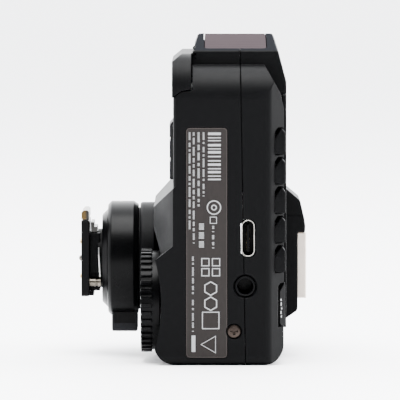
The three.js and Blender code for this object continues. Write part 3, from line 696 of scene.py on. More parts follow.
def make_toe():
    """Foot toe: brass plating on the sole side, worn to grey steel towards the top."""
    finish = Recipe("toe_plating")
    low = span("foot_toe")[0]
    normal = finish.soft_normal(0.15 * MM)
    x = finish.separate()[0]
    lines = finish.noise(1800, 3, (1, 0.08, 1), 0.7)
    patches = finish.noise(700, 3)
    worn = ((x - (low.x + 0.85) * MM) * 1800.0 + (patches - 0.5) * 1.2).clamped()
    brass = finish.mix(lines, (0.045, 0.028, 0.011), (0.085, 0.057, 0.024))
    steel = finish.mix(lines, (0.014, 0.0136, 0.013), (0.032, 0.031, 0.029))
    return finish.surface(
        Base_Color=finish.mix(worn, brass, steel), Metallic=1.0,
        Roughness=(0.34 + (lines - 0.5) * 0.24).clamped(),
        Normal=finish.bump(lines, 0.005 * MM, 0.5, normal))


def make_board():
    """Green solder mask with tracks and scattered tinned pads."""
    finish = Recipe("circuit_board")
    tracks = finish.value(finish.node(
        "ShaderNodeTexVoronoi", {"feature": "DISTANCE_TO_EDGE"},
        {"Vector": finish.place, "Scale": 420}), "Distance")
    cells = finish.value(finish.node(
        "ShaderNodeTexVoronoi", {"feature": "F1"}, {"Vector": finish.place, "Scale": 300}), "Distance")
    line = 1 - (tracks * 12.0).clamped()
    pad = 1 - (cells * 5.0).clamped()
    mask = finish.mix(line, (0.012, 0.075, 0.03), (0.03, 0.15, 0.06))
    base = finish.mix(pad.above(0.35), mask, (0.55, 0.55, 0.53))
    return finish.surface(
        Base_Color=base, Roughness=(0.32 + line * 0.1).clamped(), Metallic=pad.above(0.35),
        Normal=finish.bump(line, 0.02 * MM, 0.5), Coat_Weight=0.3)


def make_cell():
    """Cell jacket: two printed bands, a pale and a dark one, with bare metal at the ends."""
    finish = Recipe("cell_jacket")
    y = finish.separate()[1]
    rub = finish.noise(900, 4, (1, 0.1, 1))
    end = finish.value(finish.node("ShaderNodeMath", {"operation": "ABSOLUTE"}, {0: y})).above(24.3 * MM)
    band = y.above(9 * MM)
    jacket = finish.mix(band, (0.04, 0.055, 0.08), (0.36, 0.37, 0.39))
    worn = finish.mix((rub - 0.5).clamped(), jacket, (0.4, 0.42, 0.44))
    base = finish.mix(end, worn, (0.6, 0.6, 0.58))
    return finish.surface(
        Base_Color=base, Metallic=end, Roughness=(0.3 + rub * 0.2).clamped(),
        Normal=finish.bump(rub, 0.01 * MM, 0.3), Coat_Weight=0.4)


def plastic(name):
    """A plain plastic: colour, roughness, grain, its depth and, for some, the edge radius and the wear."""
    colours = settings().colours
    black, key = colours.casing, colours.key
    return {
        "casing": lambda: moulded("casing_grain", black, 0.5, 0.16 * MM, 0.012 * MM),
        # Painted sheen: a lighter, matte copy of the casing black, without reflection, for the upward faces
        # at the nose front
        "bezel": lambda: moulded("bezel_matt", tinted(black, 7.0), 0.7, 0.2 * MM, 0.008 * MM, specular=0.0),
        "deck": lambda: moulded("deck_smooth", tinted(black, 0.9), 0.4, 0.3 * MM, 0.006 * MM, 0.25 * MM),
        "key": lambda: moulded("key_plastic", key, 0.5, 0.2 * MM, 0.01 * MM, 0.18 * MM, 0.9),
        "gloss_black": lambda: moulded(
            "gloss_black", tinted(black, 0.62), 0.3, 0.45 * MM, 0.004 * MM, 0.25 * MM, 0.6),
        "rubber": lambda: moulded(
            "rubber_mat", (0.045, 0.047, 0.05), 0.75, 0.1 * MM, 0.02 * MM, 0.3 * MM, 0.1),
        "rim": lambda: moulded(
            "label_edge", tinted(colours.label, 3.0), 0.45, 0.2 * MM, 0.004 * MM, 0.05 * MM, 0.2),
        # Painted reflection: light grey standing in for the floor reflected in the lever's lower faces
        "lever": lambda: moulded("lever_satin", tinted(key, 6.0), 0.42, 0.3 * MM, 0.006 * MM, 0.3 * MM, 0.4),
    }[name]()


# Plain metals: colour, roughness, stretch of the lines and, for some, their scale, the wear and the tarnish.
METALS = {
    "clip": ("clip_steel", (0.035, 0.034, 0.032), 0.4, (1, 0.06, 1), 2000, 0.5, (0.03, 0.029, 0.027)),
    "pin": ("lock_plating", (0.09, 0.08, 0.066), 0.34, (0.08, 1, 1), 2200, 0.5, (0.34, 0.3, 0.26)),
    "steel": ("bright_steel", (0.62, 0.61, 0.59), 0.3, (1, 1, 0.06)),
    "rail": ("rail_steel", (0.5, 0.44, 0.385), 0.36, (1, 1, 0.012), 1500, 0.25, (0.38, 0.33, 0.285)),
    "port": ("port_shell", (0.34, 0.325, 0.3), 0.24, (1, 0.08, 1), 2600, 0.6),
    "gold": ("gold_plate", (0.86, 0.62, 0.26), 0.26, (1, 1, 1), 1800, 0.4, (0.4, 0.27, 0.12)),
    "reflector": ("lamp_reflector", (0.82, 0.82, 0.83), 0.14, (1, 0.1, 1), 1500, 0.3, (0.6, 0.6, 0.62)),
    "screw": ("screw_oxide", (0.035, 0.027, 0.023), 0.42, (1, 1, 1), 1700, 0.7, (0.016, 0.013, 0.011)),
}
SPECIAL = {
    "lamp": make_lamp, "lens": make_lens, "label": make_label, "print": make_print,
    "toe": make_toe, "board": make_board, "cell": make_cell,
}
MADE = {}


def finish_named(name):
    """A finish, made the first time that it is asked for."""
    if name not in MADE:
        if name in METALS:
            MADE[name] = brushed(*METALS[name])
        else:
            MADE[name] = SPECIAL[name]() if name in SPECIAL else plastic(name)
    return MADE[name]


# ---------------------------------------------------------------- casing

def casing_block(name, inset):
    """The closed casing block without its nose, all its faces moved in by an inset."""
    top, under, side, front = TOP - inset, UNDER + inset, HALF - inset, SHOULDER - inset
    spans = (under, top), (-side, side), (inset, front)
    lengthwise = block(name, *spans)
    middle_z = 66.5 - inset
    slope(lengthwise, (top, 62.8), (top - 0.9, middle_z), (top + 5, 70))
    slope(lengthwise, (top - 0.9, middle_z), (17.8 - inset, front), (top + 5, front + 5))
    rounded(lengthwise, along("Y", x=top, z=inset), 5 - inset, 10)
    across = block("across", *spans)
    for y in (-side, side):
        rounded(across, along("Z", x=top, y=y), 3.7 - inset / 2, 1)
        if not inset:
            rounded(across, along("Z", x=top - 3.7, y=y), 1.1, 5)
        rounded(across, along("Z", x=under, y=y), 1.2, 4)
    plan = block("plan", *spans)
    for y in (-side, side):
        rounded(plan, along("X", y=y, z=inset), 2.5 - inset / 2, 6)
        rounded(plan, along("X", y=y, z=front), 8.5 - inset, 16)
    return shared(lengthwise, across, plan)


def nose_block():
    """Nose and deck spine, arched at the front, with sloping cheeks towards the deck and the underside."""
    piece = block("nose", (UNDER + 4.7, DECK), (-NOSE_HALF, NOSE_HALF), (60, CROWN))
    slope(piece, (DECK, 69.2), (20.2, CROWN), (DECK + 5, CROWN))
    slope(piece, (UNDER + 4.7, 76.4), (1.5, CROWN), (-5, CROWN))
    arch = crowned(block("arch", (-1, 24.5), (-NOSE_HALF, NOSE_HALF), (50, CROWN)), NOSE_HALF, 60)
    shared(piece, arch)
    outward(piece)
    with editing(piece, "EDGE"):
        bpy.ops.mesh.select_all(action="DESELECT")
        bpy.ops.mesh.edges_select_sharp(sharpness=math.radians(20))
        bpy.ops.object.mode_set(mode="OBJECT")
        for edge in piece.data.edges:
            heights = [piece.data.vertices[i].co.z / MM for i in edge.vertices]
            edge.select = edge.select and min(heights) > 66
        bpy.ops.object.mode_set(mode="EDIT")
        bpy.ops.mesh.bevel(offset=0.55 * MM, segments=3, affect="EDGES", clamp_overlap=False)
    return piece


def parted(piece, towards_top):
    """Keeps one side of the tilted parting plane and chamfers its rim."""
    lip = settings().sizes.seam_lip / MM
    side = 1 if towards_top else -1
    normal = Vector((CROWN, 0, SEAM_REAR - SEAM_FRONT)).normalized()
    point = Vector((SEAM_REAR, 0, 0)) + normal * side * (0.07 + lip)
    sliced(piece, point, -side * normal)
    with editing(piece):
        choose(piece, "FACE", lambda centre, facing: (
            near(abs(facing.dot(normal)), 1, 0.001) and near((centre - point).dot(normal), 0, 0.05)))
        bpy.ops.mesh.inset(thickness=lip * MM, depth=lip * MM)
    return piece


def platform_block():
    """Raised platform with a ramp in front, sloping flanks and a dish round the dial."""
    piece = block("platform", (PLATFORM, -2.6), (-HALF, HALF), (0, 43.9))
    slope(piece, (UNDER, 43.3), (PLATFORM, 38.4), (PLATFORM - 5, 44))
    rounded(piece, along("Y", x=PLATFORM, z=0), 5.6, 12)
    plan = block("plan", (PLATFORM - 1, 0), (-HALF, HALF), (0, 60))
    for y in (-HALF, HALF):
        rounded(plan, along("X", y=y, z=0), 2.5, 6)
    shared(piece, plan)
    sliced(piece, (UNDER + 0.2, HALF + 0.4, 0), (-(HALF - 25.6), 5.2, 0))
    wedge = drawn("wedge", "Z", [
        (UNDER + 0.2, -HALF - 0.4), (PLATFORM - 0.4, -26), (PLATFORM - 0.4, -HALF - 0.4)], 20, 44.3)
    slope(wedge, (UNDER + 1, 30), (PLATFORM - 1, 24.6), (UNDER, 20))
    dish = drum("dish", "X", DIAL, 21.4, PLATFORM - 1, PLATFORM + 1.9, 96, 13.9)
    return cut(piece, wedge, dish)


def lamp_pocket():
    """Room for the lamp window, and for the lamp behind it."""
    low, high = span("lamp_window")
    seat = plate("seat", "Z", *sides(low, high, 0.2)[:2], (CROWN - 1.6, CROWN + 2), 1.2, 5)
    return [crowned(seat, high.y + 0.2, 60), block("room", (6, 15.5), (-12.4, 12.4), (72, 80))]


def port_cuts():
    """Cuts through the port-side wall for the connectors, the label and the side screw."""
    slot = plate(
        "slot", "Y", (USB.x - 1.9, USB.x + 1.9), (-HALF - 1, -30), (USB.z - 4.77, USB.z + 4.77), 1.89, 8)
    x, _, z = sides(LABEL_LOW, LABEL_HIGH, 0.15)
    return [
        outward(slot), plate("seat", "Y", x, (-HALF - 1, -HALF + 0.4), z, 0.95, 4),
        drum("jack_hole", "Y", JACK, 2.75, -HALF - 1, -30),
        drum("jack_rim", "Y", JACK, 4.1, -HALF - 1, -HALF + 0.35, 48, 2.75),
        drum("screw_seat", "Y", SCREW, 1.95, -HALF - 1, -HALF + 1.2, 32),
        drum("screw_hole", "Y", SCREW, 1.15, -HALF, -30, 24),
    ]


def door_cap(name, margin):
    """Prism of the battery door's end cap, grown by a margin."""
    return drawn(name, "Y", [
        (UNDER - 0.3 - 4 * margin, 65.3 - 4 * margin), (UNDER + 0.9, 66.35 - 1.6 * margin),
        (-2.6, 67.1 - margin), (-0.2 + margin, 67.6 - margin),
        (-0.2 + margin, 76.1 + 20 * margin), (-2.5 - 9 * margin, 76.1 + 20 * margin),
        (UNDER - 0.3 - 4 * margin, 74.1 + 4 * margin)], -HALF - 4 * margin, HALF + 4 * margin)


def switch_slots():
    """Recesses for the slide switches in the far wall, each with a slot through it."""
    cuts = []
    for node in ("power_switch", "lamp_switch"):
        low, high = span(node)
        z = (low.z + high.z) / 2
        cuts.append(block("recess", (low.x - 0.4, high.x + 0.4), (HALF - 1.2, HALF + 1), (z - 3.8, z + 7.8)))
        cuts.append(block("through", (low.x + 1, high.x - 1), (30, HALF - 0.5), (z - 1.8, z + 5.8)))
    return cuts


def under_holes():
    """Holes in the platform for the dial, the foot's bolt and the two screws."""
    holes = [
        drum("dial_hole", "X", DIAL, 2.8, PLATFORM, 0, 32),
        drum("encoder_room", "X", DIAL, 5.6, -6.6, 0, 32),
        drum("bolt_hole", "X", (0, 0, FOOT_Z), 4, PLATFORM - 1, 0.5, 32),
    ]
    for node in ("casing_screw_rear", "casing_screw_front"):
        holes.append(drum("head_seat", "X", middle(node), 2.2, PLATFORM - 1, PLATFORM + 3.2, 32))
        holes.append(drum("screw_way", "X", middle(node), 1.3, PLATFORM, -1, 24))
    return holes


def edge_key_pockets():
    """Pockets for the keys on the port-side top edge, as deep as their travel needs."""
    cuts = []
    for i in range(1, 6):
        low, high = span(f"group_key_{i}")
        z = low.z + 3.75
        cuts.append(drawn("pocket", "Y", [
            (18.85, z - 3.95), (24.2, z - 3.95), (24.2, z + 1.6), (22.95, z + 1.6), (22.05, z + 2.75),
            (21, z + 2.75), (18.85, z - 0.45)], low.y - 0.12, high.y + GAP))
        cuts.append(block("stem_hole", (17, 21.5), (low.y + 0.7, high.y - 0.7), (z - 2.2, z + 1.2)))
    high = span("test_key")[1]
    cuts.append(drawn("pocket", "Y", [
        (20.45, 10.1), (21.05, 9.3), (24.2, 9.3), (24.2, 20.1), (21.65, 20.1), (20.45, 18.2)],
        -33.7, high.y + GAP))
    cuts.append(block("stem_hole", (17, 21.5), (-32.85, high.y - 0.7), (12.4, 15.8)))
    return cuts


def deck_key_holes(low_x, high_x):
    """Holes through the deck for the four function keys and the round set key."""
    holes = [drum("set_hole", "X", middle("set_key"), 4.65, low_x, high_x)]
    for i in range(1, 5):
        spot = middle(f"function_key_{i}")
        holes.append(plate(
            "hole", "X", (low_x, high_x), (spot.y - 4.55, spot.y + 4.55), (spot.z - 2.85, spot.z + 2.85),
            1.65, 5))
    return holes


def hollow():
    """Inner room of the closed casing, with the extra room inside the nose."""
    return [casing_block("inner", WALL), block("nose_room", (1.4, 20.2), (-26, 26), (60, 74.6))]


class TRIGGER_OT_casing(bpy.types.Operator):
    """Model the two casing halves"""
    bl_idname = "trigger.casing"
    bl_label = "Casing halves"

    def execute(self, context):
        lower = joined(casing_block("casing_lower", 0), nose_block())
        outward(lower)
        upper = repeated(lower, "casing_upper", (0, 0, 0))
        parted(lower, towards_top=False)
        cut(lower, *hollow())
        joined(lower, platform_block())
        joined(lower, block("bulkhead", (-2.6, 11.4), (-34.5, 34.5), (41.2, 42.6)))
        cut(lower, door_cap("cap_room", GAP), block("bay", (-7, -2.3), (-31.8, 31.8), (43.3, 70)),
            block("step_room", (-3, 0.65), (-26.3, 26.3), (68.7, 82)))
        cut(lower, *under_holes())
        far_screw = (SCREW.x, HALF, SCREW.z)
        cut(lower, *port_cuts(), *lamp_pocket(), *switch_slots(),
            drum("far_seat", "Y", far_screw, 1.95, HALF - 1.2, HALF + 1, 32),
            drawn("crown_notch", "X", [
                (-0.22, CROWN + 0.2), (0, CROWN - 0.25), (0.22, CROWN + 0.2)], 11, 12.6),
            drum("far_hole", "Y", far_screw, 1.15, 30, HALF, 24))
        fitted(outward(lower), "casing", "casing", "chassis", "bottom_casing")
        parted(upper, towards_top=True)
        cut(upper, *hollow())
        boss = rounded(
            block("boss", (18.1, 21), (-34.6, -27.9), (8, 60)), along("Z", x=21, y=-34.6), 1.7, 1)
        joined(upper, boss)
        cut(upper, block("deck_seat", (DECK - 1.3, DECK + 1), (-27.8, 27.8), (8.4, 66.3)))
        low, high = span("display_lens")
        cut(upper, block("display_hole", (19, 23), (low.y + 1.5, high.y - 1.5), (low.z + 1.2, high.z - 1.2)),
            *deck_key_holes(19, 23))
        cut(upper, *edge_key_pockets())
        cut(upper, *port_cuts(), *lamp_pocket())
        fitted(outward(upper), "casing", "casing", "chassis", "top_cover")
        # Painted sheen: the upward faces at the nose front get a lighter matte copy of the casing black in
        # place of their reflection
        for half in (lower, upper):
            touched_up(half, "bezel", lambda centre, facing: facing.z > 0.8 and centre.z > SHOULDER + 1.5)
        return {"FINISHED"}


class TRIGGER_OT_battery_door(bpy.types.Operator):
    """Model the sliding battery door with its end cap and grip"""
    bl_idname = "trigger.battery_door"
    bl_label = "Battery door"

    def execute(self, context):
        low, high = span("battery_door")
        plan = block("plan", (-8, 2), (low.y, high.y), (40, high.z))
        for y in (low.y, high.y):
            rounded(plan, along("X", y=y, z=high.z), 9, 16)
        door = shared(door_cap("door_panel", 0), plan)
        joined(door, block("panel", (UNDER, -2.9), (-31.5, 31.5), (43.6, 67.5)),
               block("step", (-0.6, 0.35), (-26, 26), (69, high.z)))
        grip = block("grip", (UNDER - 1, UNDER + 0.4), (-12, 12), (44.4, 58.8))
        slope(grip, (UNDER - 1, 58), (UNDER - 0.3, 58.8), (UNDER - 2, 59))
        for y in (-12, 12):
            rounded(grip, along("Z", x=UNDER - 1, y=y), 0.8, 1)
        for z in (48.9, 54):
            cut(grip, block("notch", (-6, UNDER - 0.7), (-13, 13), (z, z + 0.9)))
        softened(grip, 0.14, 2)
        joined(door, grip)
        cell = middle("battery_cell_front")
        cut(door, drum("cell_room", "Y", cell, 7.6, -27.4, 27.4, 64))
        fitted(outward(door), "casing", "casing", "battery_door_body", "battery_door")
        return {"FINISHED"}


class TRIGGER_OT_deck(bpy.types.Operator):
    """Model the control deck and the display lens"""
    bl_idname = "trigger.deck"
    bl_label = "Deck and display lens"

    def execute(self, context):
        low, high = span("deck_panel")
        lens_low, lens_high = span("display_lens")
        deck = plate("deck_plate", "X", (low.x, high.x), (low.y, high.y), (low.z, high.z + 0.25), 0.8, 4)
        window = plate("window", "X", (low.x - 1, high.x + 1), *sides(lens_low, lens_high, 0.2)[1:], 1.7, 6)
        cut(deck, window, *deck_key_holes(low.x - 1, high.x + 1),
            block("shoe_gap", (20, 25), (-13.8, 13.8), (9.6, 42.3)))
        softened(deck, 0.12, 2)
        fitted(outward(deck), "deck", "deck", "chassis", "deck_panel")
        lens = softened(plate("display_glass", "X", *sides(lens_low, lens_high), 1.5, 6), 0.12, 2)
        fitted(outward(lens), "lens", "lens", "chassis", "display_lens")
        return {"FINISHED"}


class TRIGGER_OT_lamp_window(bpy.types.Operator):
    """Model the smoked window over the focus lamp"""
    bl_idname = "trigger.lamp_window"
    bl_label = "Lamp window"

    def execute(self, context):
        low, high = span("lamp_window")
        window = plate("smoked_window", "Z", *sides(low, high)[:2], (high.z - 1.3, high.z), 1, 5)
        softened(window, 0.12, 2)
        crowned(window, high.y, 60)
        fitted(outward(window), "lamp", "lamp", "chassis", "lamp_window")
        return {"FINISHED"}


class TRIGGER_OT_keys(bpy.types.Operator):
    """Model the edge keys, the function keys and the set key"""
    bl_idname = "trigger.keys"
    bl_label = "Keys"

    def execute(self, context):
        low, high = span("group_key_1")
        z = low.z + 3.75
        first = drawn("group_button_1", "Y", [
            (19.9, z - 3.75), (22.85, z - 3.75), (22.85, z + 1.4), (21.95, z + 2.55), (19.9, z - 0.6)],
            low.y, high.y)
        sliced(first, (22, low.y, z + 0.1), (0, -2.45, 0.7))
        softened(first, 0.2, 3)
        joined(first, block("stem", (18.3, 21.6), (low.y + 1, high.y - 1), (z - 1.9, z + 0.9)))
        fitted_row(outward(first), "key", "key", "group_key")
        self.test_key()
        spot = middle("function_key_1")
        low, high = span("function_key_1")
        button = softened(plate(
            "function_button_1", "X", (low.x, high.x), (spot.y - 4.3, spot.y + 4.3),
            (spot.z - 2.6, spot.z + 2.6), 1.4, 6), 0.3, 3)
        joined(button, plate("flange", "X", (18.9, 19.9), *sides(low, high)[1:], 2, 5))
        cut(button, drum("dimple", "X", spot, 1.1, high.x - 0.2, high.x + 0.5, 32, 2.2))
        fitted_row(outward(button), "key", "key", "function_key")
        spot = middle("set_key")
        low, high = span("set_key")
        top = high.x
        round_key = turned("set_button", "X", [
            (low.x, 0), (low.x, 4.4), (low.x + 0.5, 4.4), (low.x + 0.5, 5), (low.x + 1.5, 5),
            (low.x + 1.5, 4.4), (top - 0.3, 4.4), (top - 0.08, 4.25), (top, 3.95), (top - 0.05, 3.4),
            (top - 0.22, 2.4), (top - 0.3, 0)], spot)
        fitted(round_key, "key", "key", "set_key_body", "set_key")
        return {"FINISHED"}

    def test_key(self):
        """Key set flush in the chamfer, with a few pale marks on its face: print and a painted sheen."""
        back = span("test_key")[1].y
        face = -54.87                    # its face is the plane y = x + face
        test = drawn("test_button", "Y", [
            (21.5, 10.3), (21.9, 9.5), (22.85, 9.5), (22.85, 19.9), (22.6, 19.9), (21.5, 18)], -33.6, back)
        sliced(test, (22, 22 + face, 0), (1, -1, 0))
        softened(test, 0.1, 3)
        joined(test, block("stem", (18.3, 21.6), (-32.55, back - 1), (12.7, 15.5)))
        fitted(outward(test), "key", "key", "test_key_body", "test_key")
        # Pale marks in the print finish: they stand for the key's print and for the glossy sheen on its face,
        # so partly painted highlight
        marks = []
        for z, long, start in (
                (11.6, 0.5, 0.3), (12.5, 0.7, 0.2), (13.6, 0.4, 0.35), (14.5, 0.8, 0.25), (15.7, 0.5, 0.2)):
            x = 21.5 + start
            marks.append(drawn("mark", "Z", [
                (x, x + face - 0.02), (x + 0.22, x + 0.2 + face), (x + 0.22, x + 0.27 + face),
                (x, x + 0.05 + face)], z, z + long))
        fitted(outward(gathered("test_mark", marks)), "print", "label", "test_key_body")


class TRIGGER_OT_switches(bpy.types.Operator):
    """Model the two slide switches in the far wall"""
    bl_idname = "trigger.switches"
    bl_label = "Slide switches"

    def execute(self, context):
        low, high = span("power_switch")
        z = (low.z + high.z) / 2
        knob = block("power_slider", (low.x, high.x), (HALF - 0.95, HALF - 0.35), (low.z, high.z))
        softened(knob, 0.12, 2)
        for step in (-2.4, -1.2, 0, 1.2, 2.4):
            rib = drawn("rib", "X", [
                (HALF - 0.6, z + step - 0.45), (HALF - 0.02, z + step - 0.15), (HALF - 0.02, z + step + 0.15),
                (HALF - 0.6, z + step + 0.45)], low.x + 0.3, high.x - 0.3)
            joined(knob, rib)
        joined(knob, block("stem", (low.x + 1.4, high.x - 1.4), (31.5, HALF - 0.6), (z - 1.4, z + 1.4)))
        other = repeated(outward(knob), "lamp_slider", (0, 0, span("lamp_switch")[0].z - low.z))
        fitted(knob, "key", "key", "power_switch_body", "power_switch")
        fitted(other, "key", "key", "lamp_switch_body", "lamp_switch")
        return {"FINISHED"}


class TRIGGER_OT_dial(bpy.types.Operator):
    """Model the ribbed selector dial"""
    bl_idname = "trigger.dial"
    bl_label = "Selector dial"

    def execute(self, context):
        sizes = settings().sizes
        low, high = span("dial_wheel")
        teeth = sizes.dial_teeth
        height = sizes.tooth_height / MM
        radius = high.y - DIAL.y
        wheel = drum("ribbed_dial", "X", DIAL, radius - height, low.x, -9.75, 4 * teeth)
        with editing(wheel):
            choose(wheel, "FACE", lambda centre, facing: abs(facing.x) > 0.9)
            bpy.ops.mesh.inset(thickness=0.25 * MM, depth=0)
            turn = 2 * math.pi / teeth
            choose(wheel, "FACE", lambda centre, facing: abs(facing.x) < 0.1 and (
                math.atan2(centre.z - DIAL.z, centre.y - DIAL.y) / turn % 1) < 0.5)
            bpy.ops.mesh.inset(thickness=0.13 * MM, depth=height * MM)
        cut(wheel, drum("face_hollow", "X", DIAL, 10.2, low.x - 1, low.x + 0.25, 96, 9.9))
        joined(wheel, drum("skirt", "X", DIAL, 12.2, -9.9, -7.9, 96),
               drum("spindle", "X", DIAL, 2, -8.1, high.x, 32))
        fitted(outward(wheel), "gloss_black", "black", "dial_body", "dial_wheel")
        return {"FINISHED"}


def contact_ways(low_x, high_x, sides_round):
    """Holes for the foot's centre contact and its four signal contacts."""
    ways = [drum("centre_way", "X", (0, 0, FOOT_Z), 1.05, low_x, high_x, sides_round[0])]
    for i in range(1, 5):
        ways.append(drum("way", "X", middle(f"signal_contact_{i}"), 0.8, low_x, high_x, sides_round[1]))
    return ways


class TRIGGER_OT_foot(bpy.types.Operator):
    """Model the locking foot: neck, lock ring, plate, toe, clip, lock pin and contacts"""
    bl_idname = "trigger.foot"
    bl_label = "Locking foot"

    def execute(self, context):
        centre = Vector((0, 0, FOOT_Z))
        low, high = span("foot_neck")
        rim = high.y
        neck = turned("foot_column", "X", [
            (-23.6, 0), (-23.6, 7.4), (-12.95, 7.4), (-12.95, rim - 0.5), (-12.8, rim - 0.2), (-12.45, rim),
            (PLATFORM - 0.05, rim), (PLATFORM - 0.05, 0)], centre)
        stem = block("stem", (low.x - 0.27, -23), (-6.1, 6.1), (16.2, 30.7))
        softened(stem, 0.2, 2)
        joined(neck, stem, drum("bolt", "X", centre, 3.6, -12, -5, 32))
        cut(neck, drum("dial_room", "X", DIAL, 13.3, -14, PLATFORM, 96),
            block("pin_room", (-26, -22.2), (-9, -4.6), (16, 20.8)), *contact_ways(-26, -23.2, (24, 20)))
        joined(neck, drum("collar", "X", centre, 12.8, -13.3, -12.8, 96))
        fitted(outward(neck), "casing", "casing", "chassis", "foot_neck")

        low, high = span("lock_ring")
        rim = high.y
        ring = turned("locking_ring", "X", [
            (low.x, 7.8), (low.x, 10.8), (low.x + 0.15, 11.1), (-21.25, 12.2), (-21.1, 12.45), (-21.05, 13.4),
            (-20.9, 13.65), (-20.3, 14.25), (-20.0, rim), (-14.6, rim), (-14.35, rim - 0.15),
            (-13.5, 13.7), (high.x, 13.4), (high.x, 7.8)], centre, closed=True)
        lever = block("lever", (-20.1, -13.6), (-5.6, 5.6), (low.z, 14))
        for y in (-5.6, 5.6):
            rounded(lever, along("X", y=y, z=low.z), 2.2, 8)
        softened(lever, 0.5, 3, 40)
        joined(ring, cut(lever, drum("bore", "X", centre, 7.8, -24, -12, 96)))
        fitted(outward(ring), "gloss_black", "black", "lock_ring_body", "lock_ring")
        # Painted reflection of the floor: the lever's lower faces get a lighter grey
        touched_up(ring, "lever", lambda centre, facing: centre.z < 9.75 and abs(centre.y) < 5.7)

        low, high = span("foot_plate")
        sole = block("sole_plate", (low.x, low.x + 2.07), (low.y, high.y), (low.z, high.z))
        for y in (low.y, high.y):
            rounded(sole, along("X", y=y, z=low.z), 0.9, 4)
        softened(sole, 0.28, 3)
        joined(sole, softened(block("heel", (-26.1, high.x), (-6.1, 6.1), (low.z + 0.02, 16.1)), 0.15, 2))
        cut(sole, drum("pin_way", "X", middle("lock_pin"), 1.35, -29, -24, 32),
            *contact_ways(-29, -24, (32, 24)))
        fitted(outward(sole), "gloss_black", "black", "chassis", "foot_plate")

        toe = softened(copied("foot_toe", "toe_piece"), 0.14, 2)
        fitted(outward(toe), "toe", "brass", "chassis", "foot_toe")
        low, high = span("foot_clip")
        clip = block("toe_clip", *sides(low, high))
        cut(clip, block(
            "step", (high.x - 0.8, high.x + 1), (low.y - 1, high.y + 1), (high.z - 1.2, high.z + 1)))
        softened(clip, 0.12, 2)
        fitted(outward(clip), "clip", "steel", "chassis", "foot_clip")
        low, high = span("lock_pin")
        pin = turned("locking_pin", "X", [
            (low.x, 0), (low.x, 0.6), (low.x + 0.1, 0.8), (low.x + 0.35, 1), (high.x - 1.2, 1),
            (high.x - 1.1, 0.85), (high.x - 0.9, 0.85), (high.x - 0.8, 1), (high.x, 1), (high.x, 0)],
            middle("lock_pin"))
        fitted(pin, "pin", "steel", "lock_pin_body", "lock_pin")
        low, high = span("centre_contact")
        tip = turned("centre_pin", "X", [
            (low.x, 0), (low.x + 0.04, 0.28), (low.x + 0.2, 0.52), (low.x + 0.45, 0.7), (low.x + 0.8, 0.75),
            (high.x, 0.75), (high.x, 0)], middle("centre_contact"))
        fitted(tip, "pin", "steel", "centre_contact_body", "centre_contact")
        low, high = span("signal_contact_1")
        first = turned("signal_pin_1", "X", [
            (low.x, 0), (low.x + 0.03, 0.18), (low.x + 0.13, 0.36), (low.x + 0.32, 0.48), (low.x + 0.5, 0.5),
            (high.x, 0.5), (high.x, 0)], middle("signal_contact_1"))
        fitted_row(first, "gold", "gold", "signal_contact")
        return {"FINISHED"}


class TRIGGER_OT_shoe(bpy.types.Operator):
    """Model the pass-through shoe: base, rails, contact block and pads"""
    bl_idname = "trigger.shoe"
    bl_label = "Pass-through shoe"

    def execute(self, context):
        low, high = span("shoe_base")
        rail_low, rail_high = span("shoe_rails")
        base = drawn("shoe_plinth", "Y", [
            (low.x, low.z), (low.x + 1.2, low.z), (26.1, 11.8), (26.3, 12.6), (26.3, 31.3), (28.1, 31.3),
            (high.x, 32.9), (27.9, 34.9), (26.9, 39.2), (23.6, high.z), (low.x, high.z)], low.y, high.y)
        plan = drawn("plan", "X", [
            (-13.5, 0), (13.5, 0), (13.5, 35.5), (8.5, 50), (-8.5, 50), (-13.5, 35.5)], 20, 30)
        shared(base, plan)
        softened(outward(base), 0.3, 3, 18)
        cut(base,
            block("rail_seat", (24.4, 30), *sides(rail_low, rail_high, GAP)[1:]),
            block("way_in", (25.5, 30), (-9.45, 9.45), (0, rail_low.z)))
        fitted(outward(base), "casing", "casing", "chassis", "shoe_base")
        outer = rail_high.y
        top = rail_high.x
        rails = drawn("shoe_rail", "Z", [
            (rail_low.x, -outer), (top, -outer), (top, -6.25), (27.7, -6.25), (27.7, -9.45), (25.5, -9.45),
            (25.5, 9.45), (27.7, 9.45), (27.7, 6.25), (top, 6.25), (top, outer), (rail_low.x, outer)],
            rail_low.z, rail_high.z)
        cut(rails, block("contact_window", (24, 26.5), (-5, 5), (16, 29)))
        for y in (-outer, outer):
            rounded(rails, along("Z", x=top, y=y), 0.45, 4)
        softened(rails, 0.1, 2, 40)
        fitted(outward(rails), "rail", "steel", "chassis", "shoe_rails")
        contacts = softened(copied("shoe_contact_block", "shoe_insulator"), 0.06, 2, 50)
        fitted(outward(contacts), "gloss_black", "black", "chassis", "shoe_contact_block")
        for i in range(1, 6):
            pad_low, pad_high = span(f"shoe_pad_{i}")
            spot = middle(f"shoe_pad_{i}")
            reach = pad_high.y - spot.y
            pad = turned(f"shoe_spot_{i}", "X", [
                (pad_low.x, 0), (pad_low.x, reach), (pad_high.x - 0.12, reach),
                (pad_high.x - 0.03, reach - 0.1), (pad_high.x, reach * 0.5), (pad_high.x, 0)], spot)
            fitted(pad, "gold", "gold", "chassis", f"shoe_pad_{i}")
        return {"FINISHED"}


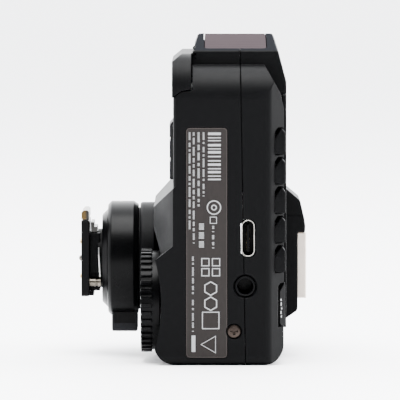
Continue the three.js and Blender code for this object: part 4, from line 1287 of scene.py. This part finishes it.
class TRIGGER_OT_ports(bpy.types.Operator):
    """Model the charging port and the sync jack"""
    bl_idname = "trigger.ports"
    bl_label = "Charging port and sync jack"

    def execute(self, context):
        low, high = span("usb_shell")

        def sleeve(name, inset, front, back):
            """Rounded bar of the socket's section, its faces moved in by an inset."""
            x, _, z = sides(low, high, -inset)
            return plate(name, "Y", x, (front, back), z, 1.57 - inset, 10)

        shell = cut(sleeve("port_sleeve", 0, low.y, high.y), sleeve("mouth", 0.2, low.y - 1, high.y - 0.4))
        softened(shell, 0.05, 2, 50)
        fitted(outward(shell), "port", "steel", "chassis", "usb_shell")
        # Painted shade: the walls inside the socket and the wall at its back are made gloss black, though the
        # shell is metal inside too
        touched_up(shell, "gloss_black", lambda centre, facing: (
            low.y + 0.1 < centre.y < high.y - 0.2 and (facing.y < -0.9 or facing.dot(centre - USB) < 0)))
        low, high = span("usb_tongue")
        tongue = block("port_tongue", *sides(low, high))
        softened(tongue, 0.12, 2)
        fitted(outward(tongue), "gloss_black", "black", "chassis", "usb_tongue")
        first = block(
            "row", (low.x - 0.04, high.x + 0.04), (low.y + 0.5, high.y - 1), (low.z + 0.55, low.z + 0.85))
        rows = [first] + [repeated(first, "row", (0, 0, 0.5 * i)) for i in range(1, 12)]
        contacts = softened(gathered("port_contacts", rows), 0.04, 1)
        fitted(contacts, "gold", "gold", "chassis")
        low, high = span("sync_jack")
        reach = (high.z - low.z) / 2
        jack = turned("jack_collar", "Y", [
            (-27, 0), (-27, 1.7), (-27.4, 1.95), (low.y + 0.2, 1.95), (low.y, 2.05),
            (low.y + 0.02, reach - 0.1), (low.y + 0.1, reach), (-33.5, reach), (-33.5, 3.3), (-33, 3.3),
            (-33, reach), (high.y, reach), (high.y, 0)], JACK)
        fitted(jack, "key", "black", "chassis", "sync_jack")
        touched_up(jack, "gloss_black", lambda centre, facing: (
            centre.y > low.y + 0.15 and math.hypot(centre.x - JACK.x, centre.z - JACK.z) < 2))
        return {"FINISHED"}


def screw_piece(name, axis, start, spot, head, long, cross):
    """Screw with a domed head and a cross recess, its tip towards the positive axis."""
    screw = turned(name, axis, [
        (start, 0), (start, head - 0.45), (start + 0.08, head - 0.2), (start + 0.25, head),
        (start + 0.8, head), (start + 0.8, 0.9), (start + long - 0.5, 0.9), (start + long, 0.3),
        (start + long, 0)], spot)
    for wide, high in ((0.26, cross), (cross, 0.26)):
        reach = Vector((wide, wide, high))
        pairs = sides(spot - reach, spot + reach)
        pairs["XYZ".index(axis)] = (start - 1, start + 1.3)
        cut(screw, block("bar", *pairs))
    return outward(screw)


class TRIGGER_OT_screws(bpy.types.Operator):
    """Model the four casing screws"""
    bl_idname = "trigger.screws"
    bl_label = "Casing screws"

    def execute(self, context):
        start = span("casing_screw_near")[0].y
        side = screw_piece("side_screw_near", "Y", start, SCREW, 1.65, 4.6, 0.95)
        far = repeated(side, "side_screw_far", (0, 0, 0))
        with editing(far):
            bpy.ops.transform.mirror(constraint_axis=(False, True, False), center_override=(0, 0, 0))
        outward(far)
        fitted(side, "screw", "screw", "chassis", "casing_screw_near")
        fitted(far, "screw", "screw", "chassis", "casing_screw_far")
        spot = middle("casing_screw_rear")
        rear = screw_piece("under_screw_rear", "X", span("casing_screw_rear")[0].x, spot, 1.8, 5.4, 1)
        move = middle("casing_screw_front") - spot
        front = repeated(rear, "under_screw_front", (0, 0, move.z))
        fitted(rear, "screw", "screw", "chassis", "casing_screw_rear")
        fitted(front, "screw", "screw", "chassis", "casing_screw_front")
        return {"FINISHED"}


def bar_row(z, end, lengths, space):
    """Places (z low, z high) of dashes laid from z downwards until an end."""
    bars = []
    i = 0
    while z > end:
        length = lengths[i % len(lengths)]
        bars.append((max(z - length, end), z))
        z -= length + space
        i += 1
    return bars


class TRIGGER_OT_label(bpy.types.Operator):
    """Model the rating label with plain dashes and shapes for its print"""
    bl_idname = "trigger.label"
    bl_label = "Rating label"

    def execute(self, context):
        low, high = LABEL_LOW, LABEL_HIGH

        def sheet(name, margin, y, radius):
            """Rounded sheet over the label, its edges moved in by a margin."""
            x, _, z = sides(low, high, -margin)
            return plate(name, "Y", x, y, z, radius, 6)

        film = sheet("label_sheet", 0, (low.y + 0.07, high.y), 0.85)
        cut(film, drum("screw_notch", "Y", SCREW, 2, -HALF - 1, -34, 48))
        fitted(outward(film), "label", "label", "chassis", "rating_label")
        rim = sheet("label_rim", 0.02, (low.y + 0.045, high.y - 0.1), 0.85)
        inner = sheet("inner", 0.13, (low.y - 1, high.y + 1), 0.75)
        cut(rim, inner, drum("screw_notch", "Y", SCREW, 2, -HALF - 1, -34, 48))
        fitted(outward(rim), "rim", "label", "chassis")
        self.print_marks(low.x, low.z, low.y + 0.03)
        return {"FINISHED"}

    def print_marks(self, x0, z0, front):
        """Print: bars for a code, fine ticks for lines of writing and a column of plain shapes."""
        pieces = []

        def mark(x_low, x_high, z_low, z_high):
            pieces.append(block(
                "mark", (x0 + x_low, x0 + x_high), (front, front + INK), (z0 + z_low, z0 + z_high)))

        def line(u, size, start, end, words):
            """Line of fine ticks from a start down to an end, with gaps between its words."""
            for low, high in bar_row(start, end, words, 0.42):
                tick = block(
                    "tick", (x0 + u, x0 + u + size), (front, front + INK), (z0 + high - 0.15, z0 + high))
                pieces.append(modified(
                    tick, "ARRAY", count=max(int((high - low) / TICK_STEP), 1), use_relative_offset=False,
                    use_constant_offset=True, constant_offset_displace=(0, 0, -TICK_STEP * MM)))

        def ring(corners, u, v, outer, inner, turn=0.0):
            """Plain ring or polygon frame."""
            middle_spot = (x0 + u, 0, z0 + v)
            whole = drum("ring", "Y", middle_spot, outer, front, front + INK, corners)
            hole = drum("hole", "Y", middle_spot, inner, front - 1, front + 1, corners)
            for piece in (whole, hole):
                with editing(piece):
                    bpy.ops.transform.rotate(
                        value=turn, orient_axis="Y", center_override=Vector(middle_spot) * MM)
            pieces.append(cut(whole, hole))

        z = 55.0
        for wide, space in CODE_BARS:
            mark(5.3, 8.4, z - wide, z)
            z -= wide + space
        line(4.0, 0.42, 55.0, 39.2, (1.9, 0.8, 1.4, 0.6, 2.2))
        line(2.75, 0.5, 55.0, 36.8, (2.6, 1.5, 2.1, 0.9))
        line(1.6, 0.42, 55.0, 27.8, (0.9, 1.8, 2.3, 1.1))
        line(0.6, 0.42, 55.0, 31.2, (2.1, 1.2, 0.6, 2.6))
        ring(40, 6.75, 36.7, 1.75, 1.5)
        ring(24, 6.75, 36.7, 0.7, 0.45)
        ring(4, 6.6, 33.6, 1.2, 0.98, math.pi / 4)
        line(6.3, 0.5, 32.2, 26.8, (0.9, 0.5, 1.3))
        line(3.1, 1.2, 32.8, 26.7, (1.75,))
        for u in (4.65, 7.25):
            for v in (23.35, 20.9):
                ring(4, u, v, 1.4, 1.1, math.pi / 4)
        ring(6, 5.95, 16.9, 1.8, 1.5)
        ring(6, 5.95, 13.2, 1.8, 1.5)
        ring(4, 5.95, 9.1, 3.0, 2.7, math.pi / 4)
        ring(3, 5.95, 3.2, 2.5, 2.2, math.pi / 6)
        line(1.4, 0.42, 24.7, 15.4, (1.1, 0.7, 2.2, 1.5))
        line(1.4, 0.42, 14.1, 6.5, (1.6, 0.8, 1.9))
        mark(1.3, 2.2, 1.4, 5.4)
        fitted(gathered("label_print", pieces), "print", "label", "chassis")


INSIDE = {
    "battery_tray": "gloss_black", "battery_contact_near": "steel", "battery_contact_far": "steel",
    "battery_cell_rear": "cell", "battery_cell_front": "cell", "main_board": "board", "radio_module": "steel",
    "key_mat": "rubber", "display_module": "steel", "dial_encoder": "steel", "lamp_reflector": "reflector",
    "lock_spring": "steel",
}


class TRIGGER_OT_inside(bpy.types.Operator):
    """Give the pieces inside the casing their finishes"""
    bl_idname = "trigger.inside"
    bl_label = "Inner pieces"

    def execute(self, context):
        for node, finish in INSIDE.items():
            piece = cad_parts[node]
            for place in piece.material_slots:
                place.material = finish_named(finish)
        return {"FINISHED"}


# ---------------------------------------------------------------- stage

class TRIGGER_OT_stage(bpy.types.Operator):
    """Set the floor, the studio light and the camera"""
    bl_idname = "trigger.stage"
    bl_label = "Stage"

    def execute(self, context):
        stage = settings().stage
        self.lay_floor(stage)
        self.light_world(stage)
        for name, place, size, power in LIGHTS:
            self.soft_light(name, place, size, power * stage.light)
        low, high = (Vector(corner) for corner in FRAME_BOX)
        centre = (low + high) / 2
        aim = Vector((centre.x + AIM_RIGHT * MM, -HALF * MM, centre.z + AIM_UP * MM))
        away = Vector((0, -math.cos(stage.tilt), math.sin(stage.tilt)))
        bpy.ops.object.select_all(action="DESELECT")
        bpy.ops.object.camera_add(
            location=aim + away * stage.distance, rotation=(math.pi / 2 - stage.tilt, 0, 0))
        camera = context.active_object
        camera.name = "front_camera"
        camera.data.lens = stage.lens
        camera.data.sensor_width = SENSOR
        camera.data.clip_start = 0.05
        camera.data.clip_end = 30
        context.scene.camera = camera
        return {"FINISHED"}

    def lay_floor(self, stage):
        bpy.ops.object.select_all(action="DESELECT")
        bpy.ops.mesh.primitive_plane_add(size=24, location=(0, 0, 0))
        floor = bpy.context.active_object
        floor.name = "studio_floor"
        finish = Recipe("studio_floor")
        mottle = finish.noise(6, 3)
        base = finish.mix(mottle, tinted(stage.floor, 0.985), tinted(stage.floor, 1.0))
        gloss = (0.55 + mottle * 0.1).clamped()
        floor.data.materials.append(finish.surface(Base_Color=base, Roughness=gloss))

    def light_world(self, stage):
        """Pale surround, brighter behind and above the object than on the camera's side."""
        world = bpy.data.worlds.new("studio")
        bpy.context.scene.world = world
        world.use_nodes = True
        nodes, links = world.node_tree.nodes, world.node_tree.links
        nodes.clear()
        place = nodes.new("ShaderNodeTexCoord")
        parts = nodes.new("ShaderNodeSeparateXYZ")
        ramp = nodes.new("ShaderNodeMapRange")
        ramp.inputs["From Min"].default_value = -0.5
        ramp.inputs["From Max"].default_value = 0.6
        ramp.inputs["To Min"].default_value = 0.05 * stage.light
        ramp.inputs["To Max"].default_value = 10.0 * stage.light
        shader = nodes.new("ShaderNodeBackground")
        shader.inputs["Color"].default_value = (0.97, 0.98, 1, 1)
        output = nodes.new("ShaderNodeOutputWorld")
        links.new(place.outputs["Generated"], parts.inputs[0])
        links.new(parts.outputs["Y"], ramp.inputs["Value"])
        links.new(ramp.outputs["Result"], shader.inputs["Strength"])
        links.new(shader.outputs[0], output.inputs["Surface"])

    def soft_light(self, name, place, size, power):
        bpy.ops.object.select_all(action="DESELECT")
        bpy.ops.object.light_add(type="AREA", location=place)
        light = bpy.context.active_object
        light.name = name
        light.data.shape = "SQUARE"
        light.data.size = size
        light.data.energy = power
        light.rotation_euler = (LIGHT_AIM - Vector(place)).to_track_quat("-Z", "Y").to_euler()


OPERATORS = (
    TRIGGER_OT_stage, TRIGGER_OT_casing, TRIGGER_OT_battery_door, TRIGGER_OT_deck, TRIGGER_OT_lamp_window,
    TRIGGER_OT_keys, TRIGGER_OT_switches, TRIGGER_OT_dial, TRIGGER_OT_foot, TRIGGER_OT_shoe, TRIGGER_OT_ports,
    TRIGGER_OT_screws, TRIGGER_OT_label, TRIGGER_OT_inside,
)


class TRIGGER_PT_panel(bpy.types.Panel):
    """Buttons for the pieces of the trigger, and its settings"""
    bl_idname = "TRIGGER_PT_panel"
    bl_label = "Wireless flash trigger"
    bl_space_type = "VIEW_3D"
    bl_region_type = "UI"
    bl_category = "Trigger"

    def draw(self, context):
        chosen = context.scene.flash_trigger
        for group in (chosen.sizes, chosen.colours, chosen.stage):
            box = self.layout.box()
            for name in group.__annotations__:
                box.prop(group, name)
        for operator in OPERATORS:
            self.layout.operator(operator.bl_idname)


CLASSES = (TriggerSizes, TriggerColours, TriggerStage, TriggerSettings, *OPERATORS, TRIGGER_PT_panel)


def register():
    for kind in CLASSES:
        bpy.utils.register_class(kind)
    bpy.types.Scene.flash_trigger = PointerProperty(
        type=TriggerSettings, name="Flash trigger", description="Settings of the flash trigger")


def unregister():
    del bpy.types.Scene.flash_trigger
    for kind in reversed(CLASSES):
        bpy.utils.unregister_class(kind)


def main():
    register()
    for operator in OPERATORS:
        family, name = operator.bl_idname.split(".")
        getattr(getattr(bpy.ops, family), name)()


if __name__ == "__main__":
    main()
